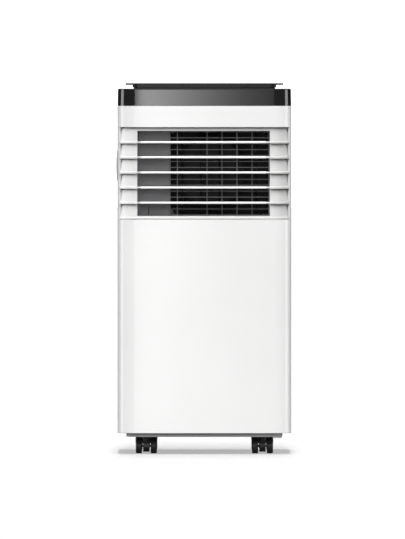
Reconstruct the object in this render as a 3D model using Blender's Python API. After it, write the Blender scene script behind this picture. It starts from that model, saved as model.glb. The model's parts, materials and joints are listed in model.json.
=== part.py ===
"""Portable air conditioner on casters, as separate closed parts.

Dimensions are millimetres until a mesh is stored, which is in metres.
X runs to the machine's right as seen from the front, -Y is the front, Z is up.
The machine stands on Z = 0.
"""

import math

import bmesh
import bpy
from mathutils import Matrix, Vector

MM = 0.001

# ---------------------------------------------------------------- driving dimensions
HEIGHT = 700.0
HALF_WIDTH = 164.0
FRONT = -150.0
REAR = 150.0
WALL = 3.0
GAP = 0.4

# the casing's plan: a slightly bowed front between two rounded corners
BOW = 2.0
FRONT_R = 34.0
REAR_R = 26.0
CORNER_X = HALF_WIDTH - FRONT_R
BOW_R = (CORNER_X**2 + BOW**2) / (2 * BOW)
BOW_END = math.asin(CORNER_X / (BOW_R - FRONT_R))
CORNER_Y = FRONT + FRONT_R + (BOW_R - FRONT_R) * (1 - math.cos(BOW_END))
PANEL_SEAM = math.asin((160.4 - CORNER_X) / FRONT_R)
SEAM_TURN = 0.3 / FRONT_R
REAR_SEAM = 118.0

# heights of the casing's bands
SHELL_BOTTOM = 39.6
LOUVRE_BOTTOM = 442.9
LOUVRE_TOP = 617.1
SHELL_TOP = 657.0
LID_BOTTOM = 657.4
LID_TOP = 689.6
WING_BOTTOM = 696.8

# the air outlet
OPEN_LEFT = -126.6
OPEN_RIGHT = 123.4
OPEN_BOTTOM = 449.5
OPEN_TOP = 610.1
RETURN = 3.0
ROW_EDGES = (616.8, 586.2, 557.6, 529.1, 500.6, 472.0, 443.3)
ROW_INSET = 5.0
LIP = 4.1
BEZEL_DEPTH = 9.0
BEZEL_BACK = -122.0

BLADE_HEIGHTS = (588.6, 560.2, 531.5, 503.1, 474.4)
BLADE_LEFT = -122.0
BLADE_RIGHT = 118.0
BLADE_FRONT = -146.8
BLADE_CHORD = 26.5
BLADE_THICK = 4.1
PIVOT_Y = BLADE_FRONT + BLADE_CHORD / 2
PIN_R = 1.7
PIN_HOLE_R = 2.15
CRANK = 10.0
CRANK_Y = PIVOT_Y + CRANK

# the blades' drive, from the sleeve outwards to the left: arms, link bar, motor crank, motor
ARM_RIGHT = OPEN_LEFT - RETURN - 1.2
ARM_LEFT = ARM_RIGHT - 2.4
LINK_RIGHT = ARM_LEFT - 2.6
LINK_LEFT = LINK_RIGHT - 2.8
ARM_END = 2.8
LINK_HALF = 3.4
MOTOR_ARM_RIGHT = LINK_LEFT - 1.2
MOTOR_ARM_LEFT = MOTOR_ARM_RIGHT - 2.4
MOTOR_FACE = MOTOR_ARM_LEFT - 1.0
MOTOR_Y = PIVOT_Y + 20.0
MOTOR_Z = 517.0
MOTOR_CRANK_Y = MOTOR_Y + CRANK

DUCT_FRONT = BEZEL_BACK + 0.8
DUCT_BACK = -62.0
DUCT_DIVIDE = -66.2
BLANK_FACE = -118.0
GUARD_FRONT = BLANK_FACE + 0.4
GUARD_BACK = GUARD_FRONT + 2.2
GUARD_FIRST = 597.0
GUARD_PITCH = 11.2
GUARD_BARS = 13
GUARD_RIBS = (-51.0, 61.5)

VANE_XS = (-41.0, -6.2, 28.5, 63.2, 98.0)
VANE_Y = -97.0
VANE_CRANK_Y = VANE_Y + CRANK
VANE_BOTTOM = 455.0
VANE_TOP = 606.0
VANE_LINK_BOTTOM = 451.0

# running gear
CASTER_X = 109.8
CASTER_Y = 100.0
CASTER_TRAIL = 10.0
WHEEL_R = 14.2
WHEEL_OUTSIDE = 19.9
WHEEL_INSIDE = 7.7
WEB_HALF = 5.5
HOOD_R = 17.7
HOOD_INSIDE_R = 15.3
HOOD_HALF = 20.75
AXLE_HOLE_R = 2.7
NECK_R = 7.0
STEM_R = 4.5
STEM_TOP = 56.0

TRAY_BOTTOM = 32.3
TRAY_TOP = 60.0
TRAY_HALF_X = 147.5
TRAY_HALF_Y = 134.0
TRAY_CORNER = 30.0
SOCKET_R = 9.0

# top controls
DECK_HALF = 135.5
WING_HALF = 149.0
DECK_FRONT = -132.0
DECK_REAR = 128.0
PLATE_WALL = 3.0
DISPLAY_HALF = 32.0
DISPLAY_Y = (-109.0, -83.0)
DISPLAY_RECESS = 698.2
BUTTON_HALF_X = 9.0
BUTTON_HALF_Y = 6.0
BUTTON_TOP = 699.6
BOARD_BOTTOM = 690.2
BOARD_TOP = BOARD_BOTTOM + 1.6
BUTTON_XS = (-96.0, -73.0, -50.0, 50.0, 73.0, 96.0)
BUTTON_Y = -96.0
BUTTON_NAMES = ("power", "mode", "fan", "down", "up", "timer")

# rear
PORT_Z = 345.0
PORT_R = 66.5
SPIGOT_END = 172.0
UPPER_WINDOW = (450.0, 630.0)
LOWER_WINDOW = (72.0, 242.0)
WINDOW_HALF = 118.0
DRAIN_X = -112.0
DRAIN_Z = 48.5
GLAND_X = 112.0
GLAND_Z = 56.0
CAP_Y = 10.0
CAP_Z = 543.7
CAP_R = 34.0
CAP_RISE = 3.2

# inner parts: each fan's centre is (x, z), each compressor and tank centre is (x, y)
MID_DECK_Z = 425.0
UPPER_FAN = (12.0, 531.0)
LOWER_FAN = (45.0, 185.0)
SCROLL_WALL = 2.5
COMPRESSOR = (-85.0, -25.0)
COMPRESSOR_TOP = 215.0
TANK = (-18.0, -62.0)
TANK_TOP = 206.0
PIPE_R = 4.0
RISER = (-134.0, 101.0)
EVAPORATOR = {"half": 112.0, "front": 88.0, "back": 114.0, "low": 444.0, "high": 632.0}
CONDENSER = {"half": 118.0, "front": 100.0, "back": 128.0, "low": 68.0, "high": 248.0}

# how far a cutter reaches past what it cuts
BEYOND = 60.0

# colour, roughness and metallic value of each material
FINISHES = {
    "white_shell": ((0.86, 0.86, 0.85), 0.42, 0.0),
    "louvre_frame_white": ((0.78, 0.78, 0.775), 0.42, 0.0),
    "louvre_white": ((0.9, 0.9, 0.89), 0.35, 0.0),
    "grille_white": ((0.84, 0.84, 0.83), 0.5, 0.0),
    "black_gloss": ((0.02, 0.02, 0.022), 0.25, 0.0),
    "display_glass": ((0.01, 0.01, 0.012), 0.06, 0.0),
    "button_grey": ((0.12, 0.12, 0.125), 0.5, 0.0),
    "board_green": ((0.03, 0.16, 0.07), 0.4, 0.0),
    "tray_grey": ((0.33, 0.33, 0.335), 0.55, 0.0),
    "duct_grey": ((0.16, 0.16, 0.165), 0.5, 0.0),
    "dark_plastic": ((0.03, 0.03, 0.032), 0.5, 0.0),
    "caster_black": ((0.03, 0.03, 0.031), 0.42, 0.0),
    "caster_wheel": ((0.045, 0.045, 0.046), 0.5, 0.0),
    "rubber_plug": ((0.03, 0.03, 0.03), 0.78, 0.0),
    "motor_steel": ((0.5, 0.5, 0.52), 0.38, 1.0),
    "coil_fins": ((0.75, 0.76, 0.78), 0.35, 1.0),
    "compressor_black": ((0.03, 0.03, 0.03), 0.3, 0.0),
    "copper": ((0.72, 0.4, 0.24), 0.3, 1.0),
}

# the whole machine is moved so that its bounding box stands centred on the origin
SHIFT_X = CAP_RISE / 2
SHIFT_Y = -(FRONT + SPIGOT_END) / 2

# the four casters' stems, and the four combinations of sides that they follow
SIDES = (-1, 1)
STEMS = [(s * CASTER_X, t * CASTER_Y) for s in SIDES for t in SIDES]


# ---------------------------------------------------------------- building blocks
def clear_scene():
    for obj in list(bpy.data.objects):
        bpy.data.objects.remove(obj)


def add_mesh(points, faces):
    mesh = bpy.data.meshes.new("solid")
    mesh.from_pydata([(x * MM, y * MM, z * MM) for x, y, z in points], [], faces)
    work = bmesh.new()
    work.from_mesh(mesh)
    bmesh.ops.recalc_face_normals(work, faces=work.faces)
    work.to_mesh(mesh)
    work.free()
    obj = bpy.data.objects.new("solid", mesh)
    bpy.context.scene.collection.objects.link(obj)
    return obj


def loft(rings, closed=False):
    """A solid through equal rings of points, with flat ends unless it closes on itself."""
    size = len(rings[0])
    points = [point for ring in rings for point in ring]
    faces = []
    for k in range(len(rings) if closed else len(rings) - 1):
        here = k * size
        there = (k + 1) % len(rings) * size
        for i in range(size):
            j = (i + 1) % size
            faces.append((here + i, here + j, there + j, there + i))
    if not closed:
        faces.append(tuple(range(size)))
        faces.append(tuple(range(len(points) - size, len(points))))
    return add_mesh(points, faces)


def at(axis, u, v, w):
    """The point at w along the axis; u, v are y, z for X; x, z for Y; x, y for Z."""
    return {"x": (w, u, v), "y": (u, w, v), "z": (u, v, w)}[axis]


def prism(axis, outline, low, high):
    return loft([[at(axis, u, v, w) for u, v in outline] for w in (low, high)])


def box(x0, x1, y0, y1, z0, z1):
    return prism("z", [(x0, y0), (x1, y0), (x1, y1), (x0, y1)], z0, z1)


def circle(u, v, radius, sides, turn=0.0):
    angles = [turn + 2 * math.pi * i / sides for i in range(sides)]
    return [(u + radius * math.cos(a), v + radius * math.sin(a)) for a in angles]


def rounded(u0, u1, v0, v1, radius, steps=3):
    """A rectangle with rounded corners."""
    points = []
    corners = ((u1, v1, 0), (u0, v1, 1), (u0, v0, 2), (u1, v0, 3))
    for u, v, quarter in corners:
        cu = u - radius if u == u1 else u + radius
        cv = v - radius if v == v1 else v + radius
        for i in range(steps + 1):
            a = math.pi / 2 * (quarter + i / steps)
            points.append((cu + radius * math.cos(a), cv + radius * math.sin(a)))
    return points


def rod(axis, u, v, radius, low, high, sides=12):
    return prism(axis, circle(u, v, radius, sides), low, high)


def turned(axis, u, v, profile, sides, turn=0.0):
    """A solid of revolution from (distance along the axis, radius) pairs."""
    rings = []
    for w, radius in profile:
        rings.append([at(axis, a, b, w) for a, b in circle(u, v, radius, sides, turn)])
    return loft(rings)


def hoop(axis, u, v, profile, sides):
    """A ring turned from a closed loop of (distance along the axis, radius) pairs."""
    rings = []
    for i in range(sides):
        a = 2 * math.pi * i / sides
        rings.append(
            [at(axis, u + r * math.cos(a), v + r * math.sin(a), w) for w, r in profile]
        )
    return loft(rings, closed=True)


def pipe(points, radius, sides=8):
    """A round pipe through the points, mitred at each bend."""
    path = [Vector(p) for p in points]
    rings = []
    side = None
    for i, here in enumerate(path):
        before = (here - path[i - 1]).normalized() if i else None
        after = (path[i + 1] - here).normalized() if i + 1 < len(path) else None
        along = ((before or after) + (after or before)).normalized()
        if side is None:
            side = along.orthogonal().normalized()
        side = (side - along * side.dot(along)).normalized()
        up = along.cross(side)
        ring = []
        for k in range(sides):
            a = 2 * math.pi * k / sides
            ring.append(tuple(here + radius * (math.cos(a) * side + math.sin(a) * up)))
        rings.append(ring)
    return loft(rings)


def combine(base, others, operation):
    for other in others:
        modifier = base.modifiers.new("combine", "BOOLEAN")
        modifier.operation = operation
        modifier.solver = "EXACT"
        modifier.object = other
    graph = bpy.context.evaluated_depsgraph_get()
    mesh = bpy.data.meshes.new_from_object(base.evaluated_get(graph))
    base.modifiers.clear()
    base.data = mesh
    for other in others:
        bpy.data.objects.remove(other)
    return base


def join(base, *others):
    return combine(base, others, "UNION")


def cut(base, *others):
    return combine(base, others, "DIFFERENCE")


def finish(name):
    """The material of this name, made the first time it is asked for."""
    if name not in bpy.data.materials:
        colour, roughness, metallic = FINISHES[name]
        material = bpy.data.materials.new(name)
        material.use_nodes = True
        shader = material.node_tree.nodes["Principled BSDF"]
        shader.inputs["Base Color"].default_value = (*colour, 1)
        shader.inputs["Roughness"].default_value = roughness
        shader.inputs["Metallic"].default_value = metallic
        material.diffuse_color = (*colour, 1)
    return bpy.data.materials[name]


def node(name, obj, material, pivot=(0, 0, 0)):
    """Names a finished part, with its origin at the pivot, which lies on a moving part's axis."""
    obj.name = name
    obj.data.name = name
    origin = Vector(pivot) * MM
    obj.data.transform(Matrix.Translation(-origin))
    obj.location = origin
    obj.data.materials.clear()
    obj.data.materials.append(finish(material))
    obj.parent = bpy.data.objects["frame"]
    return obj


def round_off(obj):
    """Smooth shading on round faces, with crisp edges."""
    obj.data.shade_smooth()
    obj.data.set_sharp_from_angle(angle=math.radians(35))
    return obj


# ---------------------------------------------------------------- plan outlines
def front_path(inset, reach, corner_steps=4, bow_steps=2):
    """The casing's front from left to right, as far round both corners as reach."""
    half = [(0.0, FRONT + inset)]
    for i in range(1, bow_steps + 1):
        a = BOW_END * i / bow_steps
        r = BOW_R - inset
        half.append((r * math.sin(a), FRONT + BOW_R - r * math.cos(a)))
    for i in range(1, corner_steps + 1):
        a = BOW_END + (reach - BOW_END) * i / corner_steps
        r = FRONT_R - inset
        half.append((CORNER_X + r * math.sin(a), CORNER_Y - r * math.cos(a)))
    return [(-x, y) for x, y in half[:0:-1]] + half


def rear_half(inset, steps=3):
    """The rear right corner, from the side round to the back."""
    r = REAR_R - inset
    points = []
    for i in range(steps + 1):
        a = math.pi / 2 * i / steps
        points.append(
            (HALF_WIDTH - REAR_R + r * math.cos(a), REAR - REAR_R + r * math.sin(a))
        )
    return points


def casing_outline(inset):
    right = rear_half(inset)
    left = [(-x, y) for x, y in reversed(right)]
    return front_path(inset, math.pi / 2) + right + left


def swept_front(profile, reach):
    """A (inset, z) profile carried along the casing's front."""
    tracks = [front_path(inset, reach) for inset, _ in profile]
    rings = []
    for k in range(len(tracks[0])):
        rings.append([(*track[k], z) for track, (_, z) in zip(tracks, profile)])
    return loft(rings)


# ---------------------------------------------------------------- casing
def build_front_shell():
    reach = PANEL_SEAM - SEAM_TURN
    wall = swept_front(
        [(0, SHELL_BOTTOM + 1.2), (0, SHELL_TOP), (WALL, SHELL_TOP), (WALL, SHELL_BOTTOM),
         (1.2, SHELL_BOTTOM)],
        reach,
    )
    flange_inside, flange_outside = 155.2, 157.7
    flanges = []
    for s in SIDES:
        x0, x1 = sorted((s * flange_inside, s * flange_outside))
        flanges.append(box(x0, x1, -132.4, -104, 62, 648))
    window = box(
        -HALF_WIDTH - BEYOND, HALF_WIDTH + BEYOND, FRONT - BEYOND, -121, LOUVRE_BOTTOM, LOUVRE_TOP + 0.2
    )
    node("front_shell", cut(join(wall, *flanges), window), "white_shell")


def side_outline(side):
    start = PANEL_SEAM + SEAM_TURN
    steps = 3
    outer, inner = [], []
    for i in range(steps + 1):
        a = start + (math.pi / 2 - start) * i / steps
        for track, r in ((outer, FRONT_R), (inner, FRONT_R - WALL)):
            track.append((CORNER_X + r * math.sin(a), CORNER_Y - r * math.cos(a)))
    outer.append((HALF_WIDTH, REAR_SEAM))
    inner.append((HALF_WIDTH - WALL, REAR_SEAM))
    return [(side * x, y) for x, y in outer + inner[::-1]]


def build_side_panels():
    left = prism("z", side_outline(-1), SHELL_BOTTOM, SHELL_TOP)
    hole = rod("x", CAP_Y, CAP_Z, CAP_R - 6, -HALF_WIDTH - 6, -HALF_WIDTH + 9, 20)
    node("left_side_panel", cut(left, hole), "white_shell")
    right = prism("z", side_outline(1), SHELL_BOTTOM, SHELL_TOP)
    node("right_side_panel", right, "white_shell")


def build_side_cap():
    spigot_r = CAP_R - 6.6
    face = -HALF_WIDTH - 0.3
    cap = turned(
        "x", CAP_Y, CAP_Z,
        [(face + 5.8, spigot_r), (face, spigot_r), (face, CAP_R), (face - 0.9, CAP_R - 1.2),
         (face - 2.2, CAP_R - 11), (-HALF_WIDTH - CAP_RISE, CAP_R - 22)],
        20,
    )
    cap = cut(cap, rod("x", CAP_Y, CAP_Z, spigot_r - 2.4, face + 1.7, face + BEYOND, 12))
    node("side_cap", cap, "white_shell")


def build_rear_shell():
    outer = [(HALF_WIDTH, REAR_SEAM + 0.6)] + rear_half(0)
    inner = [(HALF_WIDTH - WALL, REAR_SEAM + 0.6)] + rear_half(WALL)
    outline = outer + [(-x, y) for x, y in reversed(outer)]
    outline += [(-x, y) for x, y in inner] + list(reversed(inner))
    shell = prism("z", outline, SHELL_BOTTOM, SHELL_TOP)
    inside, outside = REAR - 10, REAR + 10
    rebate, rebate_depth = 4.0, 1.9
    cuts = []
    for low, high in (UPPER_WINDOW, LOWER_WINDOW):
        cuts.append(box(-WINDOW_HALF, WINDOW_HALF, inside, outside, low, high))
        cuts.append(
            box(-WINDOW_HALF - rebate, WINDOW_HALF + rebate, REAR - rebate_depth, outside,
                low - rebate, high + rebate)
        )
    cuts.append(rod("y", 0, PORT_Z, PORT_R, inside, outside, 24))
    cuts.append(rod("y", DRAIN_X, DRAIN_Z, 7, inside, outside, 12))
    cuts.append(rod("y", GLAND_X, GLAND_Z, 8, inside, outside, 12))
    node("rear_shell", cut(shell, *cuts), "white_shell")


def build_lid():
    rings = []
    for inset, z in ((0.2, LID_BOTTOM), (0.8, LID_TOP - 1.8), (1.4, LID_TOP - 0.5), (2.6, LID_TOP)):
        rings.append([(x, y, z) for x, y in casing_outline(inset)])
    lid = loft(rings)
    hollow = prism("z", casing_outline(WALL + 0.6), LID_BOTTOM - 20, LID_TOP - WALL)
    skirt_outside, skirt_inside = WALL + GAP, WALL + GAP + 2
    skirt = prism("z", casing_outline(skirt_outside), 650.5, LID_BOTTOM + 1)
    skirt = cut(skirt, prism("z", casing_outline(skirt_inside), 640, 670))

    # a grip pocket at each end, under the top plate's wings
    pocket_in, pocket_out, pocket_half, pocket_floor, wall = 137.0, 158.4, 49.0, 672.0, 2.6
    pockets, hollows = [], []
    for s in SIDES:
        x0, x1 = sorted((s * (pocket_in - wall), s * (pocket_out + 3)))
        pockets.append(
            box(x0, x1, -pocket_half - 3, pocket_half + 3, pocket_floor - 2.5, LID_TOP - 1)
        )
        x0, x1 = sorted((s * pocket_in, s * pocket_out))
        track = rounded(x0, x1, -pocket_half, pocket_half, 8, 2)
        hollows.append(prism("z", track, pocket_floor, LID_TOP + 5))
    lid = join(cut(lid, hollow), skirt, *pockets)
    wires = box(-20, 20, -60, -40, LID_TOP - 8, LID_TOP + 5)
    node("lid", cut(lid, *hollows, wires), "black_gloss")


def build_top_plate():
    plate_y = (DECK_FRONT, DECK_REAR)
    wings = prism("z", rounded(-WING_HALF, WING_HALF, *plate_y, 14, 4), WING_BOTTOM, HEIGHT)
    deck = prism("z", rounded(-DECK_HALF, DECK_HALF, *plate_y, 10, 4), LID_TOP + 0.3, WING_BOTTOM + 1)
    plate = join(wings, deck)
    inside = DECK_HALF - PLATE_WALL
    hollow = prism(
        "z",
        rounded(-inside, inside, DECK_FRONT + PLATE_WALL, DECK_REAR - PLATE_WALL, 7, 2),
        LID_TOP - 5,
        WING_BOTTOM,
    )
    below, above = LID_TOP, HEIGHT + 5
    recess = box(
        -DISPLAY_HALF - GAP, DISPLAY_HALF + GAP, DISPLAY_Y[0] - GAP, DISPLAY_Y[1] + GAP,
        DISPLAY_RECESS, above,
    )
    window = box(-DISPLAY_HALF + 3, DISPLAY_HALF - 3, DISPLAY_Y[0] + 3, DISPLAY_Y[1] - 3, below, above)
    cuts = [hollow, recess, window]
    half_x, half_y = BUTTON_HALF_X + GAP, BUTTON_HALF_Y + GAP
    for x in BUTTON_XS:
        track = rounded(x - half_x, x + half_x, BUTTON_Y - half_y, BUTTON_Y + half_y, 3.4, 2)
        cuts.append(prism("z", track, below, above))
    node("top_plate", cut(plate, *cuts), "black_gloss")


def build_display():
    lens = box(-DISPLAY_HALF, DISPLAY_HALF, *DISPLAY_Y, DISPLAY_RECESS + 0.3, HEIGHT - 0.2)
    node("display_window", lens, "display_glass")


def build_control_board():
    board = box(-112, 112, -118, -70, BOARD_BOTTOM, BOARD_TOP)
    inside = BOARD_TOP - 0.8
    module = box(-27, 27, -104, -88, inside, WING_BOTTOM - 0.4)
    switch_half, switch_top = 3.0, BOARD_TOP + 1.4
    switches = [
        box(x - switch_half, x + switch_half, BUTTON_Y - switch_half, BUTTON_Y + switch_half,
            inside, switch_top)
        for x in BUTTON_XS
    ]
    node("control_board", join(board, module, *switches), "board_green")


def build_buttons():
    for name, x in zip(BUTTON_NAMES, BUTTON_XS):
        track = rounded(
            x - BUTTON_HALF_X, x + BUTTON_HALF_X, BUTTON_Y - BUTTON_HALF_Y, BUTTON_Y + BUTTON_HALF_Y, 3, 2
        )
        cap = prism("z", track, 695.5, BUTTON_TOP)
        flange = box(x - 11, x + 11, BUTTON_Y - 8, BUTTON_Y + 8, 695, WING_BOTTOM - 0.4)
        stem = box(x - 2, x + 2, BUTTON_Y - 2, BUTTON_Y + 2, 694.5, 695.5)
        node("button_" + name, join(cap, flange, stem), "button_grey", (x, BUTTON_Y, BUTTON_TOP))


def build_base_tray():
    half_x, half_y = TRAY_HALF_X, TRAY_HALF_Y
    body = prism("z", rounded(-half_x, half_x, -half_y, half_y, TRAY_CORNER, 4), TRAY_BOTTOM, TRAY_TOP)
    rim = prism("z", casing_outline(WALL + GAP), TRAY_TOP - WALL, TRAY_TOP)
    half_x, half_y = TRAY_HALF_X - WALL, TRAY_HALF_Y - WALL
    inside = rounded(-half_x, half_x, -half_y, half_y, TRAY_CORNER - WALL, 4)
    hollow = prism("z", inside, TRAY_BOTTOM + WALL, TRAY_TOP + 5)
    tray = cut(join(body, rim), hollow)
    sockets = [rod("z", x, y, SOCKET_R, TRAY_BOTTOM + 1, TRAY_TOP - 1, 10) for x, y in STEMS]
    skid = box(129, 146, -131, -121, TRAY_BOTTOM - 2.3, TRAY_BOTTOM + 1)
    spout = rod("y", DRAIN_X, DRAIN_Z, 6, TRAY_HALF_Y - 2, REAR + 2.2, 12)
    tray = join(tray, *sockets, skid, spout)
    holes = [
        rod("z", x, y, STEM_R + 0.5, TRAY_BOTTOM - 5, STEM_TOP + 0.8, 10) for x, y in STEMS
    ]
    drain = rod("y", DRAIN_X, DRAIN_Z, 3.6, TRAY_HALF_Y - 9, REAR + 10, 10)
    node("base_tray", cut(tray, *holes, drain), "tray_grey")


# ---------------------------------------------------------------- air outlet
def bezel_profile():
    """Six overlapping boards: each leans out to a lip that overhangs the next."""
    profile = [(BEZEL_DEPTH, ROW_EDGES[-1]), (BEZEL_DEPTH, ROW_EDGES[0])]
    for top, bottom in zip(ROW_EDGES, ROW_EDGES[1:]):
        profile += [(ROW_INSET, top), (1.0, bottom + LIP), (0, bottom + LIP - 0.7), (0, bottom)]
    return profile


def build_bezel():
    bezel = swept_front(bezel_profile(), PANEL_SEAM - 2 * SEAM_TURN)
    sleeve = box(
        OPEN_LEFT - RETURN, OPEN_RIGHT + RETURN, FRONT + 8, BEZEL_BACK,
        OPEN_BOTTOM - RETURN + 0.2, OPEN_TOP + RETURN - 0.2,
    )
    opening = box(OPEN_LEFT, OPEN_RIGHT, FRONT - BEYOND, FRONT + BEYOND, OPEN_BOTTOM, OPEN_TOP)
    hole_left, hole_right = OPEN_LEFT - RETURN - 5, OPEN_RIGHT + RETURN + 5
    holes = [
        rod("x", PIVOT_Y, z, PIN_HOLE_R, hole_left, hole_right, 10) for z in BLADE_HEIGHTS
    ]
    node("louvre_bezel", cut(join(bezel, sleeve), opening, *holes), "louvre_frame_white")


def build_louvres():
    half = BLADE_THICK / 2
    for number, z in enumerate(BLADE_HEIGHTS, 1):
        rings = []
        for inset, dz in ((0.8, -half), (0, -half + 0.7), (0, half - 0.7), (0.8, half)):
            track = rounded(
                BLADE_LEFT + inset, BLADE_RIGHT - inset,
                BLADE_FRONT + inset, BLADE_FRONT + BLADE_CHORD - inset,
                5 - inset, 2,
            )
            rings.append([(x, y, z + dz) for x, y in track])
        blade = loft(rings)
        arm_middle = (ARM_LEFT + ARM_RIGHT) / 2
        left_pin = rod("x", PIVOT_Y, z, PIN_R, arm_middle, BLADE_LEFT + 6, 8)
        right_pin = rod("x", PIVOT_Y, z, PIN_R, BLADE_RIGHT - 6, OPEN_RIGHT + 2, 8)
        arm = box(ARM_LEFT, ARM_RIGHT, PIVOT_Y - ARM_END, CRANK_Y + ARM_END, z - 2.6, z + 2.6)
        crank_pin = rod("x", CRANK_Y, z, PIN_R, LINK_LEFT - 0.8, arm_middle, 8)
        blade = join(blade, left_pin, right_pin, arm, crank_pin)
        node("louvre_%d" % number, blade, "louvre_white", (0, PIVOT_Y, z))


def build_louvre_drive():
    bar = box(
        LINK_LEFT, LINK_RIGHT, CRANK_Y - LINK_HALF, CRANK_Y + LINK_HALF,
        BLADE_HEIGHTS[-1] - 6, BLADE_HEIGHTS[0] + 6,
    )
    tab = box(LINK_LEFT, LINK_RIGHT, CRANK_Y, MOTOR_CRANK_Y + 3.6, MOTOR_Z - 4, MOTOR_Z + 4)
    hole_left, hole_right = LINK_LEFT - 4, LINK_RIGHT + 4
    holes = [rod("x", CRANK_Y, z, PIN_HOLE_R, hole_left, hole_right, 8) for z in BLADE_HEIGHTS]
    holes.append(rod("x", MOTOR_CRANK_Y, MOTOR_Z, PIN_HOLE_R, hole_left, hole_right, 8))
    node("link_bar", cut(join(bar, tab), *holes), "dark_plastic", (0, CRANK_Y, BLADE_HEIGHTS[2]))

    arm = box(
        MOTOR_ARM_LEFT, MOTOR_ARM_RIGHT, MOTOR_Y - 4, MOTOR_CRANK_Y + ARM_END,
        MOTOR_Z - LINK_HALF, MOTOR_Z + LINK_HALF,
    )
    pin = rod("x", MOTOR_CRANK_Y, MOTOR_Z, PIN_R, MOTOR_ARM_LEFT + 1.2, LINK_RIGHT + 0.6, 10)
    bore = rod("x", MOTOR_Y, MOTOR_Z, PIN_HOLE_R, MOTOR_ARM_LEFT - 5, MOTOR_ARM_RIGHT + 5, 10)
    node("motor_crank", cut(join(arm, pin), bore), "dark_plastic", (0, MOTOR_Y, MOTOR_Z))

    body = rod("x", MOTOR_Y, MOTOR_Z, 12, MOTOR_FACE - 9.8, MOTOR_FACE, 16)
    ears = box(
        MOTOR_FACE - 2, MOTOR_FACE - 0.2, MOTOR_Y - 3, MOTOR_Y + 3, MOTOR_Z - 18, MOTOR_Z + 18
    )
    shaft = rod("x", MOTOR_Y, MOTOR_Z, PIN_R, MOTOR_FACE - 0.8, MOTOR_ARM_RIGHT - 0.4, 10)
    node("louvre_motor", round_off(join(body, ears, shaft)), "motor_steel")


def build_outlet_duct():
    duct = box(
        OPEN_LEFT - RETURN, OPEN_RIGHT + RETURN, DUCT_FRONT, DUCT_BACK,
        OPEN_BOTTOM - RETURN, OPEN_TOP + RETURN,
    )
    before, after = DUCT_FRONT - 5, DUCT_BACK + 5
    recess = box(OPEN_LEFT, OPEN_RIGHT, before, BLANK_FACE, OPEN_BOTTOM, OPEN_TOP)
    passage = box(DUCT_DIVIDE, OPEN_RIGHT, before, after, OPEN_BOTTOM, OPEN_TOP)
    wall = 2.5
    behind = box(OPEN_LEFT, DUCT_DIVIDE - wall, BLANK_FACE + wall, after, OPEN_BOTTOM, OPEN_TOP)
    holes = [rod("z", x, VANE_Y, 2.0, OPEN_BOTTOM - 10, OPEN_TOP + 10, 8) for x in VANE_XS]
    node("outlet_duct", cut(duct, recess, passage, behind, *holes), "duct_grey")


def build_guard():
    left, right = DUCT_DIVIDE + GAP, OPEN_RIGHT - GAP
    low, high = OPEN_BOTTOM + GAP, OPEN_TOP - GAP
    guard = box(left, right, GUARD_FRONT, GUARD_BACK, low, high)
    upright_half, bar_half, frame = 0.9, 0.8, 2.0
    columns = [left + frame]
    for x in GUARD_RIBS:
        columns += [x - upright_half, x + upright_half]
    columns.append(right - frame)
    rows = [low + frame]
    for k in reversed(range(GUARD_BARS)):
        z = GUARD_FIRST - GUARD_PITCH * k
        rows += [z - bar_half, z + bar_half]
    rows.append(high - frame)
    cells = []
    for x0, x1 in zip(columns[::2], columns[1::2]):
        for z0, z1 in zip(rows[::2], rows[1::2]):
            cells.append(box(x0, x1, GUARD_FRONT - 2, GUARD_BACK + 2, z0, z1))
    node("guard_grille", cut(guard, *cells), "duct_grey")


def build_vanes():
    thick, front, back = 0.9, VANE_Y - 11, VANE_Y + 13
    for number, x in enumerate(VANE_XS, 1):
        outline = [
            (x - thick, front + 2), (x, front), (x + thick, front + 2),
            (x + thick, back - 2), (x, back), (x - thick, back - 2),
        ]
        vane = prism("z", outline, VANE_BOTTOM, VANE_TOP)
        barrel = rod("z", x, VANE_Y, 1.6, OPEN_BOTTOM - 2, OPEN_TOP + 1.9, 8)
        pin = rod("z", x, VANE_CRANK_Y, 1.5, VANE_LINK_BOTTOM - 0.6, VANE_BOTTOM + 15, 8)
        node("vane_%d" % number, join(vane, barrel, pin), "dark_plastic", (x, VANE_Y, 0))
    bar = box(
        VANE_XS[0] - 6, VANE_XS[-1] + 6, VANE_CRANK_Y - 3.6, VANE_CRANK_Y + 3.6,
        VANE_LINK_BOTTOM, VANE_LINK_BOTTOM + 2.4,
    )
    holes = [
        rod("z", x, VANE_CRANK_Y, 1.95, VANE_LINK_BOTTOM - 10, VANE_LINK_BOTTOM + 10, 8) for x in VANE_XS
    ]
    node("vane_link", cut(bar, *holes), "dark_plastic", (VANE_XS[2], VANE_CRANK_Y, 0))


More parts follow.
